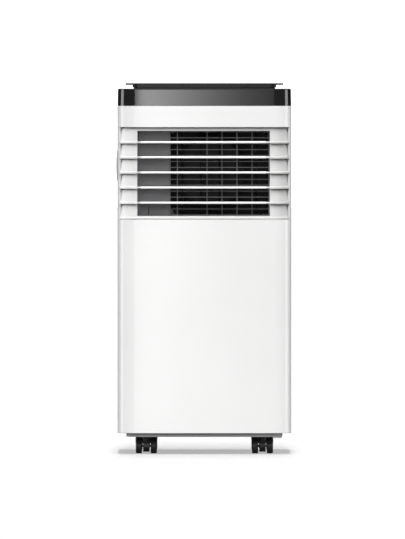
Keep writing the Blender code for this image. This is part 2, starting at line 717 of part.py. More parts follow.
# ---------------------------------------------------------------- running gear
def build_caster(place, x, y):
    """A twin-wheel caster: the fork turns on its stem, the wheels turn on their axle."""
    axle_y = y + CASTER_TRAIL
    hood_top = WHEEL_R + HOOD_R
    edge = 2.4
    profile = [
        (x - HOOD_HALF, HOOD_R - edge), (x - HOOD_HALF + edge, HOOD_R),
        (x + HOOD_HALF - edge, HOOD_R), (x + HOOD_HALF, HOOD_R - edge),
    ]
    hood = turned("x", axle_y, WHEEL_R, profile, 14)
    neck = rod("z", x, y, NECK_R, 22, hood_top, 10)
    stem = rod("z", x, y, STEM_R, hood_top - 2.4, STEM_TOP, 10)

    # the hood is hollow outside its middle web, and open below the wheels' upper part
    clear, hood_bottom, web_bottom = 30.0, 20.0, 7.0
    cuts = []
    for s in SIDES:
        x0, x1 = sorted((x + s * WEB_HALF, x + s * clear))
        cuts.append(prism("x", circle(axle_y, WHEEL_R, HOOD_INSIDE_R, 14), x0, x1))
        cuts.append(box(x0, x1, axle_y - clear, axle_y + clear, -5, hood_bottom))
    cuts.append(box(x - 10, x + 10, axle_y - clear, axle_y + clear, -5, web_bottom))
    axle_hole = rod("x", axle_y, WHEEL_R, AXLE_HOLE_R, x - 10, x + 10, 10)
    fork = join(cut(hood, *cuts), neck, stem)
    fork = round_off(cut(fork, axle_hole))
    node("fork_" + place, fork, "caster_black", (x, y, 0))

    # a flat of the tread stands on the floor, so its corners reach further than WHEEL_R
    half_turn = math.pi / 16
    reach = WHEEL_R / math.cos(half_turn)
    half = [
        (WHEEL_OUTSIDE, reach - 1.8), (WHEEL_OUTSIDE - 1.6, reach), (WHEEL_INSIDE, reach),
        (WHEEL_INSIDE, AXLE_HOLE_R - 0.5),
    ]
    profile = [(x - w, r) for w, r in half] + [(x + w, r) for w, r in reversed(half)]
    wheels = round_off(turned("x", axle_y, WHEEL_R, profile, 16, half_turn))
    node("wheels_" + place, wheels, "caster_wheel", (x, axle_y, WHEEL_R))


def build_casters():
    for side, x in (("left", -CASTER_X), ("right", CASTER_X)):
        for end, y in (("front", -CASTER_Y), ("rear", CASTER_Y)):
            build_caster(end + "_" + side, x, y)


# ---------------------------------------------------------------- rear fittings
def build_filter_grille(name, window, rows):
    low, high = window
    lap, play, border, bar_share = 3.6, 0.5, 4.0, 0.28
    face = box(-WINDOW_HALF - lap, WINDOW_HALF + lap, REAR - 1.5, REAR, low - lap, high + lap)
    frame = box(
        -WINDOW_HALF + play, WINDOW_HALF - play, REAR - 8, REAR - 1, low + play, high - play
    )
    slots = []
    pitch = (high - low - 2 * border) / rows
    for k in range(rows):
        z = low + border + pitch * (k + 0.5)
        half = pitch * bar_share
        for x0, x1 in ((-WINDOW_HALF + 6, -3), (3, WINDOW_HALF - 6)):
            slots.append(box(x0, x1, REAR - 15, REAR + 10, z - half, z + half))
    node(name, cut(join(face, frame), *slots), "grille_white")


def build_rear_fittings():
    build_filter_grille("upper_filter_grille", UPPER_WINDOW, 12)
    build_filter_grille("lower_filter_grille", LOWER_WINDOW, 11)
    spigot = hoop(
        "y", 0, PORT_Z,
        [(147.2, 61), (SPIGOT_END, 61), (SPIGOT_END, 64.5), (153, 64.5), (153, 76),
         (150.4, 76), (150.4, 65.4), (147.2, 65.4)],
        24,
    )
    node("exhaust_spigot", round_off(spigot), "white_shell")
    plug = turned(
        "y", DRAIN_X, DRAIN_Z,
        [(140, 3.1), (152.8, 3.1), (152.8, 9), (158.6, 9), (160, 7.6)],
        12,
    )
    node("drain_plug", round_off(plug), "rubber_plug", (DRAIN_X, SPIGOT_END, DRAIN_Z))
    gland = hoop(
        "y", GLAND_X, GLAND_Z,
        [(147.2, 4), (156, 4), (156, 7), (153, 11), (150.4, 11), (150.4, 7.3), (147.2, 7.3)],
        12,
    )
    node("cord_gland", round_off(gland), "dark_plastic")


# ---------------------------------------------------------------- inner parts
def build_fan(prefix, centre, wheel_front, wheel_back, wheel_r, spider_y):
    """A drum fan wheel with its motor reaching in through the inlet."""
    u, v = centre
    blades = []
    count, sweep, half_thick = 12, 0.12, 0.8
    for k in range(count):
        a = 2 * math.pi * k / count
        points = []
        for r, lead in ((wheel_r - 9, sweep), (wheel_r - 1, 0.0)):
            for side in (-half_thick, half_thick):
                angle = a + lead + side / r
                points.append((u + r * math.cos(angle), v + r * math.sin(angle)))
        outline = [points[0], points[2], points[3], points[1]]
        blades.append(prism("y", outline, wheel_front + 1.5, wheel_back - 1.5))
    plate = rod("y", u, v, wheel_r, wheel_front, wheel_front + 2.5, 20)
    hub = rod("y", u, v, 10, wheel_front + 1, wheel_front + 12, 12)
    rim = hoop(
        "y", u, v,
        [(wheel_back - 3, wheel_r - 10), (wheel_back, wheel_r - 10), (wheel_back, wheel_r),
         (wheel_back - 3, wheel_r)],
        20,
    )
    wheel = join(plate, hub, rim, *blades)
    bore = rod("y", u, v, 4.5, wheel_front - 5, wheel_front + 20, 10)
    node(prefix + "_fan_wheel", round_off(cut(wheel, bore)), "dark_plastic", (u, wheel_front, v))

    motor_r = 26
    body = turned(
        "y", u, v,
        [(wheel_front + 16, motor_r - 4), (wheel_front + 18, motor_r), (spider_y, motor_r),
         (spider_y + 3, motor_r - 4)],
        16,
    )
    shaft = rod("y", u, v, 4.0, wheel_front + 1, wheel_front + 20, 10)
    arms = []
    arm_count, arm_start, arm_end, arm_half = 3, 10, 66, 4
    for k in range(arm_count):
        a = math.pi / 2 + 2 * math.pi * k / arm_count
        ends = [(arm_start, -arm_half), (arm_end, -arm_half), (arm_end, arm_half), (arm_start, arm_half)]
        outline = [
            (u + r * math.cos(a) - t * math.sin(a), v + r * math.sin(a) + t * math.cos(a))
            for r, t in ends
        ]
        arms.append(prism("y", outline, spider_y - 2.4, spider_y + 1))
    node(prefix + "_fan_motor", round_off(join(body, shaft, *arms)), "motor_steel")


def scroll_walls(x0, x1, z0, z1, corner, steps, front, back, open_front):
    """A fan's casing, hollow, with its front wall left off where open_front is true."""
    wall = SCROLL_WALL
    outside = prism("y", rounded(x0, x1, z0, z1, corner, steps), front, back)
    track = rounded(x0 + wall, x1 - wall, z0 + wall, z1 - wall, corner - wall, steps)
    start = front - 8 if open_front else front + wall
    return outside, prism("y", track, start, back - wall)


def build_upper_air():
    front, back = DUCT_BACK + GAP, 52
    scroll, hollow = scroll_walls(-70, 126, 446.6, 616, 36, 3, front, back, True)
    inlet = rod("y", *UPPER_FAN, 54, back - 12, back + 8, 20)
    node("upper_scroll", cut(scroll, hollow, inlet), "dark_plastic")
    build_fan("upper", UPPER_FAN, -42, 30, 64, back + 3)


def build_lower_air():
    front, back, scroll_top = 0, 78, 262
    scroll, hollow = scroll_walls(-28, 124, 112, scroll_top, 50, 4, front, back, False)
    inlet = rod("y", *LOWER_FAN, 50, back - 8, back + 7, 20)
    feed_x, feed_y = (30, 70), (8, 70)
    discharge = box(*feed_x, *feed_y, scroll_top - 22, scroll_top + 8)
    node("lower_scroll", cut(scroll, hollow, inlet, discharge), "dark_plastic")
    build_fan("lower", LOWER_FAN, 8, 66, 60, back + 3)

    # the box that carries the hot air from the lower fan to the port
    wall, bottom, top, duct_back = SCROLL_WALL, scroll_top + 2, 416, REAR - 4
    duct = box(-74, 124, 4, duct_back, bottom, top)
    inside = box(-74 + wall, 124 - wall, 4 + wall, duct_back - wall, bottom + wall, top - wall)
    feed = box(*feed_x, *feed_y, bottom - 9, bottom + 11)
    port = rod("y", 0, PORT_Z, PORT_R - 4.5, duct_back - 16, REAR, 24)
    node("exhaust_duct", cut(duct, inside, feed, port), "dark_plastic")


def build_coil(name, half, front, back, low, high):
    """A fin block between two tube plates, with return bends on the right."""
    block = box(-half, half, front, back, low, high)
    plates = []
    for s in SIDES:
        x0, x1 = sorted((s * (half - 1), s * (half + 1.6)))
        plates.append(box(x0, x1, front - 3, back + 3, low - 2, high + 2))
    bends = []
    middle = (front + back) / 2
    count, bend_half, corner, bend_r = 3, 12, 4, 3.4
    pitch = (high - low) / count
    x0, x1 = half - 2, half + 9
    for k in range(count):
        z = low + pitch * (k + 0.5)
        lower = [(x0, middle, z - bend_half), (x1 - 3, middle, z - bend_half)]
        turn = [(x1, middle, z - bend_half + corner), (x1, middle, z + bend_half - corner)]
        upper = [(x1 - 3, middle, z + bend_half), (x0, middle, z + bend_half)]
        bends.append(pipe(lower + turn + upper, bend_r, 6))
    node(name, join(block, *plates, *bends), "coil_fins")


def build_compressor():
    x, y = COMPRESSOR
    bottom, top, radius = 70, COMPRESSOR_TOP, 50
    can = turned(
        "z", x, y,
        [(bottom, radius - 12), (bottom + 4, radius - 3), (bottom + 12, radius), (top - 25, radius),
         (top - 11, radius - 6), (top - 2, radius - 22), (top, radius - 38)],
        16,
    )
    foot = prism("z", rounded(x - 54, x + 54, y - 44, y + 44, 12, 2), bottom - 4, bottom + 1.5)
    grommet_bottom = TRAY_BOTTOM + WALL + GAP
    grommets = [
        rod("z", x + s * 44, y + t * 34, 6, grommet_bottom, bottom - 3, 6) for s in SIDES for t in SIDES
    ]
    tank_r = 18
    tank = turned(
        "z", *TANK,
        [(92, tank_r - 10), (98, tank_r), (190, tank_r), (TANK_TOP - 8, tank_r - 11),
         (TANK_TOP, tank_r - 13)],
        10,
    )
    strap = pipe([(-60, -38, 150), (*TANK, 150)], 6, 6)
    node("compressor", round_off(join(can, foot, *grommets, tank, strap)), "compressor_black")


def build_pipes():
    """Down from the upper coil to the tank, and from the compressor to the lower coil."""
    x, y = RISER
    suction_end = -EVAPORATOR["half"] - 2.5
    route = [
        (suction_end, y, 470), (x + 4, y, 470), (x, y, 464), (x, y, 262), (x, y - 5, 250),
        (x + 6, y - 45, 245), (TANK[0] - 8, TANK[1] + 9, 245), (*TANK, 238), (*TANK, TANK_TOP + 0.6),
    ]
    suction = pipe(route, PIPE_R)
    node("suction_pipe", round_off(suction), "copper")
    x, y = COMPRESSOR
    discharge_end = CONDENSER["front"] - 3.6
    route = [
        (x, y, COMPRESSOR_TOP + 0.6), (x, y, COMPRESSOR_TOP + 7), (x, y + 8, 228),
        (x - 15, discharge_end - 12.4, 228), (x - 15, discharge_end, 228),
    ]
    discharge = pipe(route, PIPE_R)
    node("discharge_pipe", round_off(discharge), "copper")


def build_mid_deck():
    deck = prism("z", rounded(-152, 152, -136, 142, 18, 2), MID_DECK_Z, MID_DECK_Z + WALL)
    hole = rod("z", *RISER, PIPE_R + 3, MID_DECK_Z - 25, MID_DECK_Z + 15, 10)
    node("mid_deck", cut(deck, hole), "dark_plastic")


def build_electrics():
    """An open-backed box for the electronics, behind the front's lower part."""
    wall, left, right, front, back, low, high = 2.5, 40, 140, -138, -98, 290, 400
    case = box(left, right, front, back, low, high)
    hollow = box(left + wall, right - wall, front + wall, back + 8, low + wall, high - wall)
    node("control_box", cut(case, hollow), "dark_plastic")


# ---------------------------------------------------------------- the machine
def build():
    clear_scene()
    frame = bpy.data.objects.new("frame", None)
    frame.location = (SHIFT_X * MM, SHIFT_Y * MM, 0)
    bpy.context.scene.collection.objects.link(frame)

    build_front_shell()
    build_side_panels()
    build_side_cap()
    build_rear_shell()
    build_lid()
    build_top_plate()
    build_display()
    build_control_board()
    build_buttons()
    build_base_tray()

    build_bezel()
    build_louvres()
    build_louvre_drive()
    build_outlet_duct()
    build_guard()
    build_vanes()

    build_casters()
    build_rear_fittings()

    build_upper_air()
    build_lower_air()
    build_coil("evaporator_coil", **EVAPORATOR)
    build_coil("condenser_coil", **CONDENSER)
    build_compressor()
    build_pipes()
    build_mid_deck()
    build_electrics()


build()
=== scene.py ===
"""Looks for the portable air conditioner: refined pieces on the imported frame, materials, light and camera.

Layout dimensions are millimetres in the machine's own layout, and add_mesh moves them onto the frame.
Studio distances are metres. An inset is a distance in from an outline.
"""

import json
import math

import bmesh
import bpy
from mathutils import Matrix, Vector

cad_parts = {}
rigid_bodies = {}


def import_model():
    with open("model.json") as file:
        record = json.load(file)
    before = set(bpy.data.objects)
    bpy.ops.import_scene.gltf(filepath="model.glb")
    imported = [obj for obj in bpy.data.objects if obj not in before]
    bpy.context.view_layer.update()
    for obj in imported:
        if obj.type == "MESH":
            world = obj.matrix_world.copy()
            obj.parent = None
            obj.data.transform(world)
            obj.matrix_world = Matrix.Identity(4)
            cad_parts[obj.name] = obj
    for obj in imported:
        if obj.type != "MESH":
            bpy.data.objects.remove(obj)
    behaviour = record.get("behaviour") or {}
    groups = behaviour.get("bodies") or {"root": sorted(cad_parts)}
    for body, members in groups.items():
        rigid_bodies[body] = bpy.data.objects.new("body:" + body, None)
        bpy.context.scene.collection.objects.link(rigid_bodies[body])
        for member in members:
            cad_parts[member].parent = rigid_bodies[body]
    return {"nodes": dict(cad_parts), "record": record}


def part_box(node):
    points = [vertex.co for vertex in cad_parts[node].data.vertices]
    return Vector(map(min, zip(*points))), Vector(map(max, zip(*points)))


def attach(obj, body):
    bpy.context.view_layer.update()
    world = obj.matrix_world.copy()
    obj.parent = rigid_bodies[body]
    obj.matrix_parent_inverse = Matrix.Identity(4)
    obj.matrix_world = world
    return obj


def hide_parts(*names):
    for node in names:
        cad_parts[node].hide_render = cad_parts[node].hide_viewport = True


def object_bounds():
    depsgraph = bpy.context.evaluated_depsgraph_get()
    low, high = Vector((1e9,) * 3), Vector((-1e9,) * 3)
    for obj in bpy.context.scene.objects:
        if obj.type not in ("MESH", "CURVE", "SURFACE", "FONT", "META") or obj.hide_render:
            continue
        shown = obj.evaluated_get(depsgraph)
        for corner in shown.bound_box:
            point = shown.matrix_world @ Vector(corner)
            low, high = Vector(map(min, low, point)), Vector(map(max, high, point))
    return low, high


MM = 0.001
BEYOND = 200.0
SIDES = ((-1, "left"), (1, "right"))

for old in list(bpy.data.objects):
    bpy.data.objects.remove(old)
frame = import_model()
CAD_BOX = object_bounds()

# ---------------------------------------------------------------- the layout, as in the CAD
HEIGHT = 700.0
HALF_WIDTH = 164.0
FRONT, REAR = -150.0, 150.0
WALL = 3.0
FRONT_R, REAR_R = 34.0, 26.0
SHELL_BOTTOM, SHELL_TOP = 39.6, 657.0

# the front bows forward by BOW on a large arc, which runs into the corner arcs at the angle BOW_END
BOW = 2.0
CORNER_X = HALF_WIDTH - FRONT_R
BOW_R = (CORNER_X**2 + BOW**2) / (2 * BOW)
BOW_END = math.asin(CORNER_X / (BOW_R - FRONT_R))
CORNER_Y = FRONT + FRONT_R + (BOW_R - FRONT_R) * (1 - math.cos(BOW_END))

# the seam of front and side panels is on the corner arc, the seam of side and rear panels on the side
SEAM_X = 160.4
HALF_SEAM = 0.3
PANEL_SEAM = math.asin((SEAM_X - CORNER_X) / FRONT_R)
SEAM_TURN = HALF_SEAM / FRONT_R
REAR_SEAM = 118.0

LID_BOTTOM, LID_TOP = 657.4, 689.6
TRAY_BOTTOM, TRAY_TOP = 32.3, 60.0
PORT_Z, PORT_R = 345.0, 66.5
DRAIN_X, DRAIN_Z = -112.0, 48.5
GLAND_X, GLAND_Z = 112.0, 56.0
UPPER_WINDOW, LOWER_WINDOW = (450.0, 630.0), (72.0, 242.0)
CASTER_SPOTS = [
    ("%s_%s" % (end, side), x, y)
    for side, x in (("left", -109.8), ("right", 109.8))
    for end, y in (("front", -100.0), ("rear", 100.0))
]
REAR_SCREWS = [(side * 144.0, z) for side, _word in SIDES for z in (52.0, 262.0, 428.0, 645.0)]

# the lid on the frame, whose front is set back from the casing's, says where that layout stands
LID_LOW, LID_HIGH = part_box("lid")
LID_SETBACK = 0.2
PLACE_X = (LID_LOW.x + LID_HIGH.x) / (2 * MM)
PLACE_Y = LID_LOW.y / MM - (FRONT + LID_SETBACK)


# ---------------------------------------------------------------- building blocks
def add_mesh(points, faces):
    """A mesh object on the frame, from points in the layout, with its faces turned outwards."""
    mesh = bpy.data.meshes.new("piece")
    placed = [((x + PLACE_X) * MM, (y + PLACE_Y) * MM, z * MM) for x, y, z in points]
    mesh.from_pydata(placed, [], faces)
    work = bmesh.new()
    work.from_mesh(mesh)
    bmesh.ops.recalc_face_normals(work, faces=work.faces)
    work.to_mesh(mesh)
    work.free()
    obj = bpy.data.objects.new("piece", mesh)
    bpy.context.scene.collection.objects.link(obj)
    return obj


def loft(rings, closed=False):
    """A skin over rings of equal size, capped at both ends, or joined up into a loop."""
    size = len(rings[0])
    points = [point for ring in rings for point in ring]
    faces = []
    for k in range(len(rings) if closed else len(rings) - 1):
        here = k * size
        there = (k + 1) % len(rings) * size
        for i in range(size):
            j = (i + 1) % size
            faces.append((here + i, here + j, there + j, there + i))
    if not closed:
        faces.append(tuple(range(size)))
        faces.append(tuple(range(len(points) - size, len(points))))
    return add_mesh(points, faces)


def at(axis, u, v, w):
    """The point at w along an axis and at u, v across it."""
    return {"x": (w, u, v), "y": (u, w, v), "z": (u, v, w)}[axis]


def raised(outline, z):
    return [(x, y, z) for x, y in outline]


def on_side(side, near, far):
    """The x range from near to far of the middle, on the left (-1) or the right (1)."""
    return sorted((side * near, side * far))


def prism(axis, outline, low, high):
    return loft([[at(axis, u, v, w) for u, v in outline] for w in (low, high)])


def box(x0, x1, y0, y1, z0, z1):
    return prism("z", [(x0, y0), (x1, y0), (x1, y1), (x0, y1)], z0, z1)


def circle(u, v, radius, sides):
    angles = [2 * math.pi * i / sides for i in range(sides)]
    return [(u + radius * math.cos(a), v + radius * math.sin(a)) for a in angles]


def rounded(u0, u1, v0, v1, radius, steps):
    """A rectangle's outline with arcs for corners."""
    points = []
    for u, v, quarter in ((u1, v1, 0), (u0, v1, 1), (u0, v0, 2), (u1, v0, 3)):
        cu = u - radius if u == u1 else u + radius
        cv = v - radius if v == v1 else v + radius
        for i in range(steps + 1):
            a = math.pi / 2 * (quarter + i / steps)
            points.append((cu + radius * math.cos(a), cv + radius * math.sin(a)))
    return points


def slab(x0, x1, y0, y1, radius, levels, steps):
    """A rounded block, its outline drawn in by the first number of each (inset, z) level."""
    rings = []
    for inset, z in levels:
        outline = rounded(x0 + inset, x1 - inset, y0 + inset, y1 - inset, radius - inset, steps)
        rings.append(raised(outline, z))
    return loft(rings)


def rod(axis, u, v, radius, low, high, sides=32):
    return prism(axis, circle(u, v, radius, sides), low, high)


def turned(axis, u, v, profile, sides):
    """A solid of revolution from (place on the axis, radius) pairs."""
    rings = []
    for w, radius in profile:
        rings.append([at(axis, a, b, w) for a, b in circle(u, v, radius, sides)])
    return loft(rings)


def hoop(axis, u, v, profile, sides):
    """A ring whose section is the closed profile of (place on the axis, radius) pairs."""
    rings = []
    for i in range(sides):
        a = 2 * math.pi * i / sides
        rings.append([at(axis, u + r * math.cos(a), v + r * math.sin(a), w) for w, r in profile])
    return loft(rings, closed=True)


def combine(base, others, operation):
    """Joins others to the base or cuts them from it, and deletes them."""
    for other in others:
        modifier = base.modifiers.new("combine", "BOOLEAN")
        modifier.operation = operation
        modifier.solver = "EXACT"
        modifier.object = other
    graph = bpy.context.evaluated_depsgraph_get()
    mesh = bpy.data.meshes.new_from_object(base.evaluated_get(graph))
    base.modifiers.clear()
    base.data = mesh
    for other in others:
        bpy.data.objects.remove(other)
    return base


def join(base, *others):
    return combine(base, others, "UNION")


def cut(base, *others):
    return combine(base, others, "DIFFERENCE")


def gather(pieces):
    """Several loose meshes as one object, for rows of small repeated shapes."""
    base, *others = pieces
    work = bmesh.new()
    for one in pieces:
        work.from_mesh(one.data)
    work.to_mesh(base.data)
    work.free()
    for other in others:
        bpy.data.objects.remove(other)
    return base


# ---------------------------------------------------------------- plan outlines
def front_path(inset, reach, corner_steps=18, bow_steps=8):
    """The bowed front from left to right, each corner arc followed up to the angle reach."""
    half = [(0.0, FRONT + inset)]
    for i in range(1, bow_steps + 1):
        a = BOW_END * i / bow_steps
        r = BOW_R - inset
        half.append((r * math.sin(a), FRONT + BOW_R - r * math.cos(a)))
    for i in range(1, corner_steps + 1):
        a = BOW_END + (reach - BOW_END) * i / corner_steps
        r = FRONT_R - inset
        half.append((CORNER_X + r * math.sin(a), CORNER_Y - r * math.cos(a)))
    return [(-x, y) for x, y in half[:0:-1]] + half


def rear_corner(inset, steps=16):
    """The right rear corner's arc, from the side to the back."""
    r = REAR_R - inset
    points = []
    for i in range(steps + 1):
        a = math.pi / 2 * i / steps
        points.append((HALF_WIDTH - REAR_R + r * math.cos(a), REAR - REAR_R + r * math.sin(a)))
    return points


def casing_outline(inset):
    right = rear_corner(inset)
    return front_path(inset, math.pi / 2) + right + [(-x, y) for x, y in reversed(right)]


def swept_front(profile, reach):
    """A closed profile of (inset, z) pairs carried along the front."""
    tracks = [front_path(inset, reach) for inset, _z in profile]
    rings = []
    for k in range(len(tracks[0])):
        rings.append([(*track[k], z) for track, (_inset, z) in zip(tracks, profile)])
    return loft(rings)


def arc(centre_inset, centre_z, radius, start, end, steps):
    """Points of a small edge rounding, as (inset, z)."""
    points = []
    for i in range(steps + 1):
        a = math.radians(start + (end - start) * i / steps)
        points.append((centre_inset - radius * math.cos(a), centre_z + radius * math.sin(a)))
    return points


# ---------------------------------------------------------------- materials
FINISHES = {}
NOISE_LOW, NOISE_HIGH = 0.3, 0.7
BLEND_PLACES = (0.35, 0.65)
DRIFT_SCALE, WAVE_SCALE = 5.0, 22.0
GLOSS_DRIFT = 0.07
GRAIN_DEPTH, WAVE_DEPTH = 0.0004, 0.002
WAVE_SHARE = 0.5
COAT_ROUGHNESS = 0.12
TARNISH_SCALE, TARNISH_SHADE = 14.0, 0.78
STREAK_SCALE, STREAK_STRENGTH, STREAK_DEPTH = 240.0, 0.08, 0.0003


def new_material(name):
    material = bpy.data.materials.new(name)
    material.use_nodes = True
    FINISHES[name] = material
    tree = material.node_tree
    return tree.nodes, tree.links, tree.nodes["Principled BSDF"]


def noise(nodes, links, coordinates, scale, detail, roughness=0.5):
    texture = nodes.new("ShaderNodeTexNoise")
    texture.inputs["Scale"].default_value = scale
    texture.inputs["Detail"].default_value = detail
    texture.inputs["Roughness"].default_value = roughness
    links.new(coordinates, texture.inputs["Vector"])
    return texture.outputs["Fac"]


def spread(nodes, links, factor, low, high):
    """A noise pattern's usual values carried to the range low..high."""
    mapping = nodes.new("ShaderNodeMapRange")
    mapping.inputs["From Min"].default_value = NOISE_LOW
    mapping.inputs["From Max"].default_value = NOISE_HIGH
    mapping.inputs["To Min"].default_value = low
    mapping.inputs["To Max"].default_value = high
    links.new(factor, mapping.inputs["Value"])
    return mapping.outputs["Result"]


def blend_colours(nodes, links, factor, first, second):
    ramp = nodes.new("ShaderNodeValToRGB")
    for stop, place, colour in zip(ramp.color_ramp.elements, BLEND_PLACES, (first, second)):
        stop.position = place
        stop.color = (*colour, 1)
    links.new(factor, ramp.inputs["Fac"])
    return ramp.outputs["Color"]


def relief(nodes, links, height, strength, depth, under=None):
    """A bump node's normal, laid over the normal under it if there is one."""
    bump = nodes.new("ShaderNodeBump")
    bump.inputs["Strength"].default_value = strength
    bump.inputs["Distance"].default_value = depth
    links.new(height, bump.inputs["Height"])
    if under:
        links.new(under, bump.inputs["Normal"])
    return bump.outputs["Normal"]


def plastic(name, colour, roughness, grain=0.02, grain_scale=2600.0, specular=0.5, coat=0.0, drift=0.012):
    """Moulded plastic: fine spark-eroded grain, slow drift in colour and gloss, faint flow waviness."""
    nodes, links, shader = new_material(name)
    place = nodes.new("ShaderNodeTexCoord").outputs["Object"]
    slow = noise(nodes, links, place, DRIFT_SCALE, 2.0)
    fine = noise(nodes, links, place, grain_scale, 2.0, 0.6)
    wave = noise(nodes, links, place, WAVE_SCALE, 1.0)
    darker = tuple(max(c * (1 - drift * 2), 0) for c in colour)
    lighter = tuple(min(c * (1 + drift), 1) for c in colour)
    shade = blend_colours(nodes, links, slow, darker, lighter)
    gloss = spread(nodes, links, slow, roughness * (1 - GLOSS_DRIFT), roughness * (1 + GLOSS_DRIFT))
    grained = relief(nodes, links, fine, grain, GRAIN_DEPTH)
    waved = relief(nodes, links, wave, grain * WAVE_SHARE, WAVE_DEPTH, under=grained)
    links.new(shade, shader.inputs["Base Color"])
    links.new(gloss, shader.inputs["Roughness"])
    links.new(waved, shader.inputs["Normal"])
    shader.inputs["Specular IOR Level"].default_value = specular
    shader.inputs["Coat Weight"].default_value = coat
    shader.inputs["Coat Roughness"].default_value = COAT_ROUGHNESS
    return FINISHES[name]


def metal(name, colour, roughness, streaks):
    """Bare or plated metal with drawn streaks and a little tarnish."""
    nodes, links, shader = new_material(name)
    place = nodes.new("ShaderNodeTexCoord").outputs["Object"]
    stretch = nodes.new("ShaderNodeMapping")
    stretch.inputs["Scale"].default_value = streaks
    links.new(place, stretch.inputs["Vector"])
    drawn = noise(nodes, links, stretch.outputs["Vector"], STREAK_SCALE, 3.0)
    tarnish = noise(nodes, links, place, TARNISH_SCALE, 4.0)
    dull = tuple(c * TARNISH_SHADE for c in colour)
    shade = blend_colours(nodes, links, tarnish, dull, colour)
    gloss = spread(nodes, links, drawn, roughness * 0.75, roughness * 1.3)
    streaked = relief(nodes, links, drawn, STREAK_STRENGTH, STREAK_DEPTH)
    links.new(shade, shader.inputs["Base Color"])
    links.new(gloss, shader.inputs["Roughness"])
    links.new(streaked, shader.inputs["Normal"])
    shader.inputs["Metallic"].default_value = 1.0


# casing and air outlet
plastic("white_shell", (0.795, 0.795, 0.791), 0.16, grain=0.006, specular=0.26)
# louvre_frame_white is a greyer white than the casing's. This is partly its own tone and partly painted
# shade, which brings the frame's rows down to their shaded look.
plastic("louvre_frame_white", (0.7, 0.7, 0.695), 0.3, grain=0.01, specular=0.2)
plastic("louvre_white", (0.93, 0.93, 0.925), 0.3, grain=0.01)
plastic("grille_white", (0.84, 0.84, 0.832), 0.48, grain=0.03, grain_scale=1800.0)
plastic("black_gloss", (0.014, 0.014, 0.015), 0.1, grain=0.004, specular=0.6, drift=0.06)
plastic("deck_black", (0.012, 0.012, 0.013), 0.32, grain=0.008, specular=0.18, drift=0.06)
# tray_grey is lighter than the tray's own light grey. That is painted light: it stands in for the floor's
# bounce light, which the floor does not give.
plastic("tray_grey", (0.74, 0.74, 0.745), 0.55, grain=0.05, grain_scale=1500.0)
plastic("duct_grey", (0.17, 0.17, 0.175), 0.5, grain=0.03, grain_scale=1500.0, specular=0.12)
# dark_plastic is darker than black plastic's own tone. That is painted shade, for the parts deep inside the
# air outlet.
plastic("dark_plastic", (0.012, 0.012, 0.013), 0.5, grain=0.04, grain_scale=1500.0, specular=0.2, drift=0.08)
plastic("rubber_plug", (0.03, 0.03, 0.03), 0.78, grain=0.09, grain_scale=1300.0, specular=0.3)

# controls
plastic("display_glass", (0.006, 0.006, 0.008), 0.07, grain=0.002, coat=0.6, drift=0.05)
plastic("button_grey", (0.12, 0.12, 0.125), 0.5, grain=0.05, grain_scale=1700.0)
plastic("key_marks", (0.62, 0.62, 0.62), 0.5)
plastic("board_green", (0.02, 0.13, 0.05), 0.35, grain=0.04, grain_scale=700.0, drift=0.1)

# running gear
plastic("caster_black", (0.016, 0.016, 0.017), 0.42, grain=0.05, grain_scale=1500.0, drift=0.08)
plastic("caster_wheel", (0.03, 0.03, 0.031), 0.5, grain=0.06, grain_scale=1100.0, drift=0.08)

# machinery
plastic("compressor_black", (0.02, 0.02, 0.02), 0.28, grain=0.08, grain_scale=420.0, coat=0.3)
metal("motor_steel", (0.52, 0.53, 0.55), 0.38, streaks=(1.0, 6.0, 1.0))
metal("coil_fins", (0.74, 0.75, 0.78), 0.35, streaks=(1.0, 1.0, 0.1))
metal("copper", (0.77, 0.41, 0.24), 0.3, streaks=(1.0, 1.0, 4.0))


def finish_carried_nodes():
    """Every CAD node takes the finish of its slot, whether or not a piece stands for it."""
    for entry in frame["record"]["subparts"]:
        node = frame["nodes"][entry["node"]]
        material = FINISHES[entry["material_slot"]]
        if not node.data.materials:
            node.data.materials.append(material)
        for place in node.material_slots:
            place.material = material


# ---------------------------------------------------------------- pieces
SMOOTH_BELOW = 34


def piece(name, obj, body, slot, replaces=(), finish=None):
    """Names a piece, smooths its curved faces, gives it its body, and gives it the finish named by finish, or
    else the finish of its slot.
    """
    mesh = obj.data
    obj.name = name
    mesh.name = name
    mesh.polygons.foreach_set("use_smooth", [True] * len(mesh.polygons))
    mesh.set_sharp_from_angle(angle=math.radians(SMOOTH_BELOW))
    weighted = obj.modifiers.new("normals", "WEIGHTED_NORMAL")
    weighted.keep_sharp = True
    mesh.materials.clear()
    mesh.materials.append(FINISHES[finish or slot])
    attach(obj, body)
    if replaces:
        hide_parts(*replaces)


# ---------------------------------------------------------------- casing
LOW_EDGE_R, TOP_EDGE_R = 0.9, 0.3
FLANGE_X, FLANGE_Y, FLANGE_Z = (155.2, 157.7), (-132.4, -104.0), (62.0, 648.0)
OUTLET_BACK, OUTLET_Z = -121.0, (442.9, 617.3)


def build_front():
    """The bowed front, with an opening for the louvre frame and a flange behind each edge."""
    profile = arc(LOW_EDGE_R, SHELL_BOTTOM + LOW_EDGE_R, LOW_EDGE_R, -90, 0, 4)
    profile += arc(TOP_EDGE_R, SHELL_TOP - TOP_EDGE_R, TOP_EDGE_R, 0, 90, 3)
    profile += [(WALL, SHELL_TOP), (WALL, SHELL_BOTTOM)]
    wall = swept_front(profile, PANEL_SEAM - SEAM_TURN)
    flanges = [box(*on_side(side, *FLANGE_X), *FLANGE_Y, *FLANGE_Z) for side, _word in SIDES]
    opening = box(-BEYOND, BEYOND, -BEYOND, OUTLET_BACK, *OUTLET_Z)
    panel = cut(join(wall, *flanges), opening)
    piece("front_panel", panel, "cabinet", "white_shell", ["front_shell"])


CAP_Y, CAP_Z, CAP_R = 10.0, 543.7, 34.0
CAP_RISE, CAP_EDGE_RISE, CAP_CURVE = 3.2, 0.6, 2.6
CAP_HOLE_R, CAP_PLUG_R = 28.0, 27.4
CAP_PLUG_END, CAP_SEAT = -158.5, -164.3


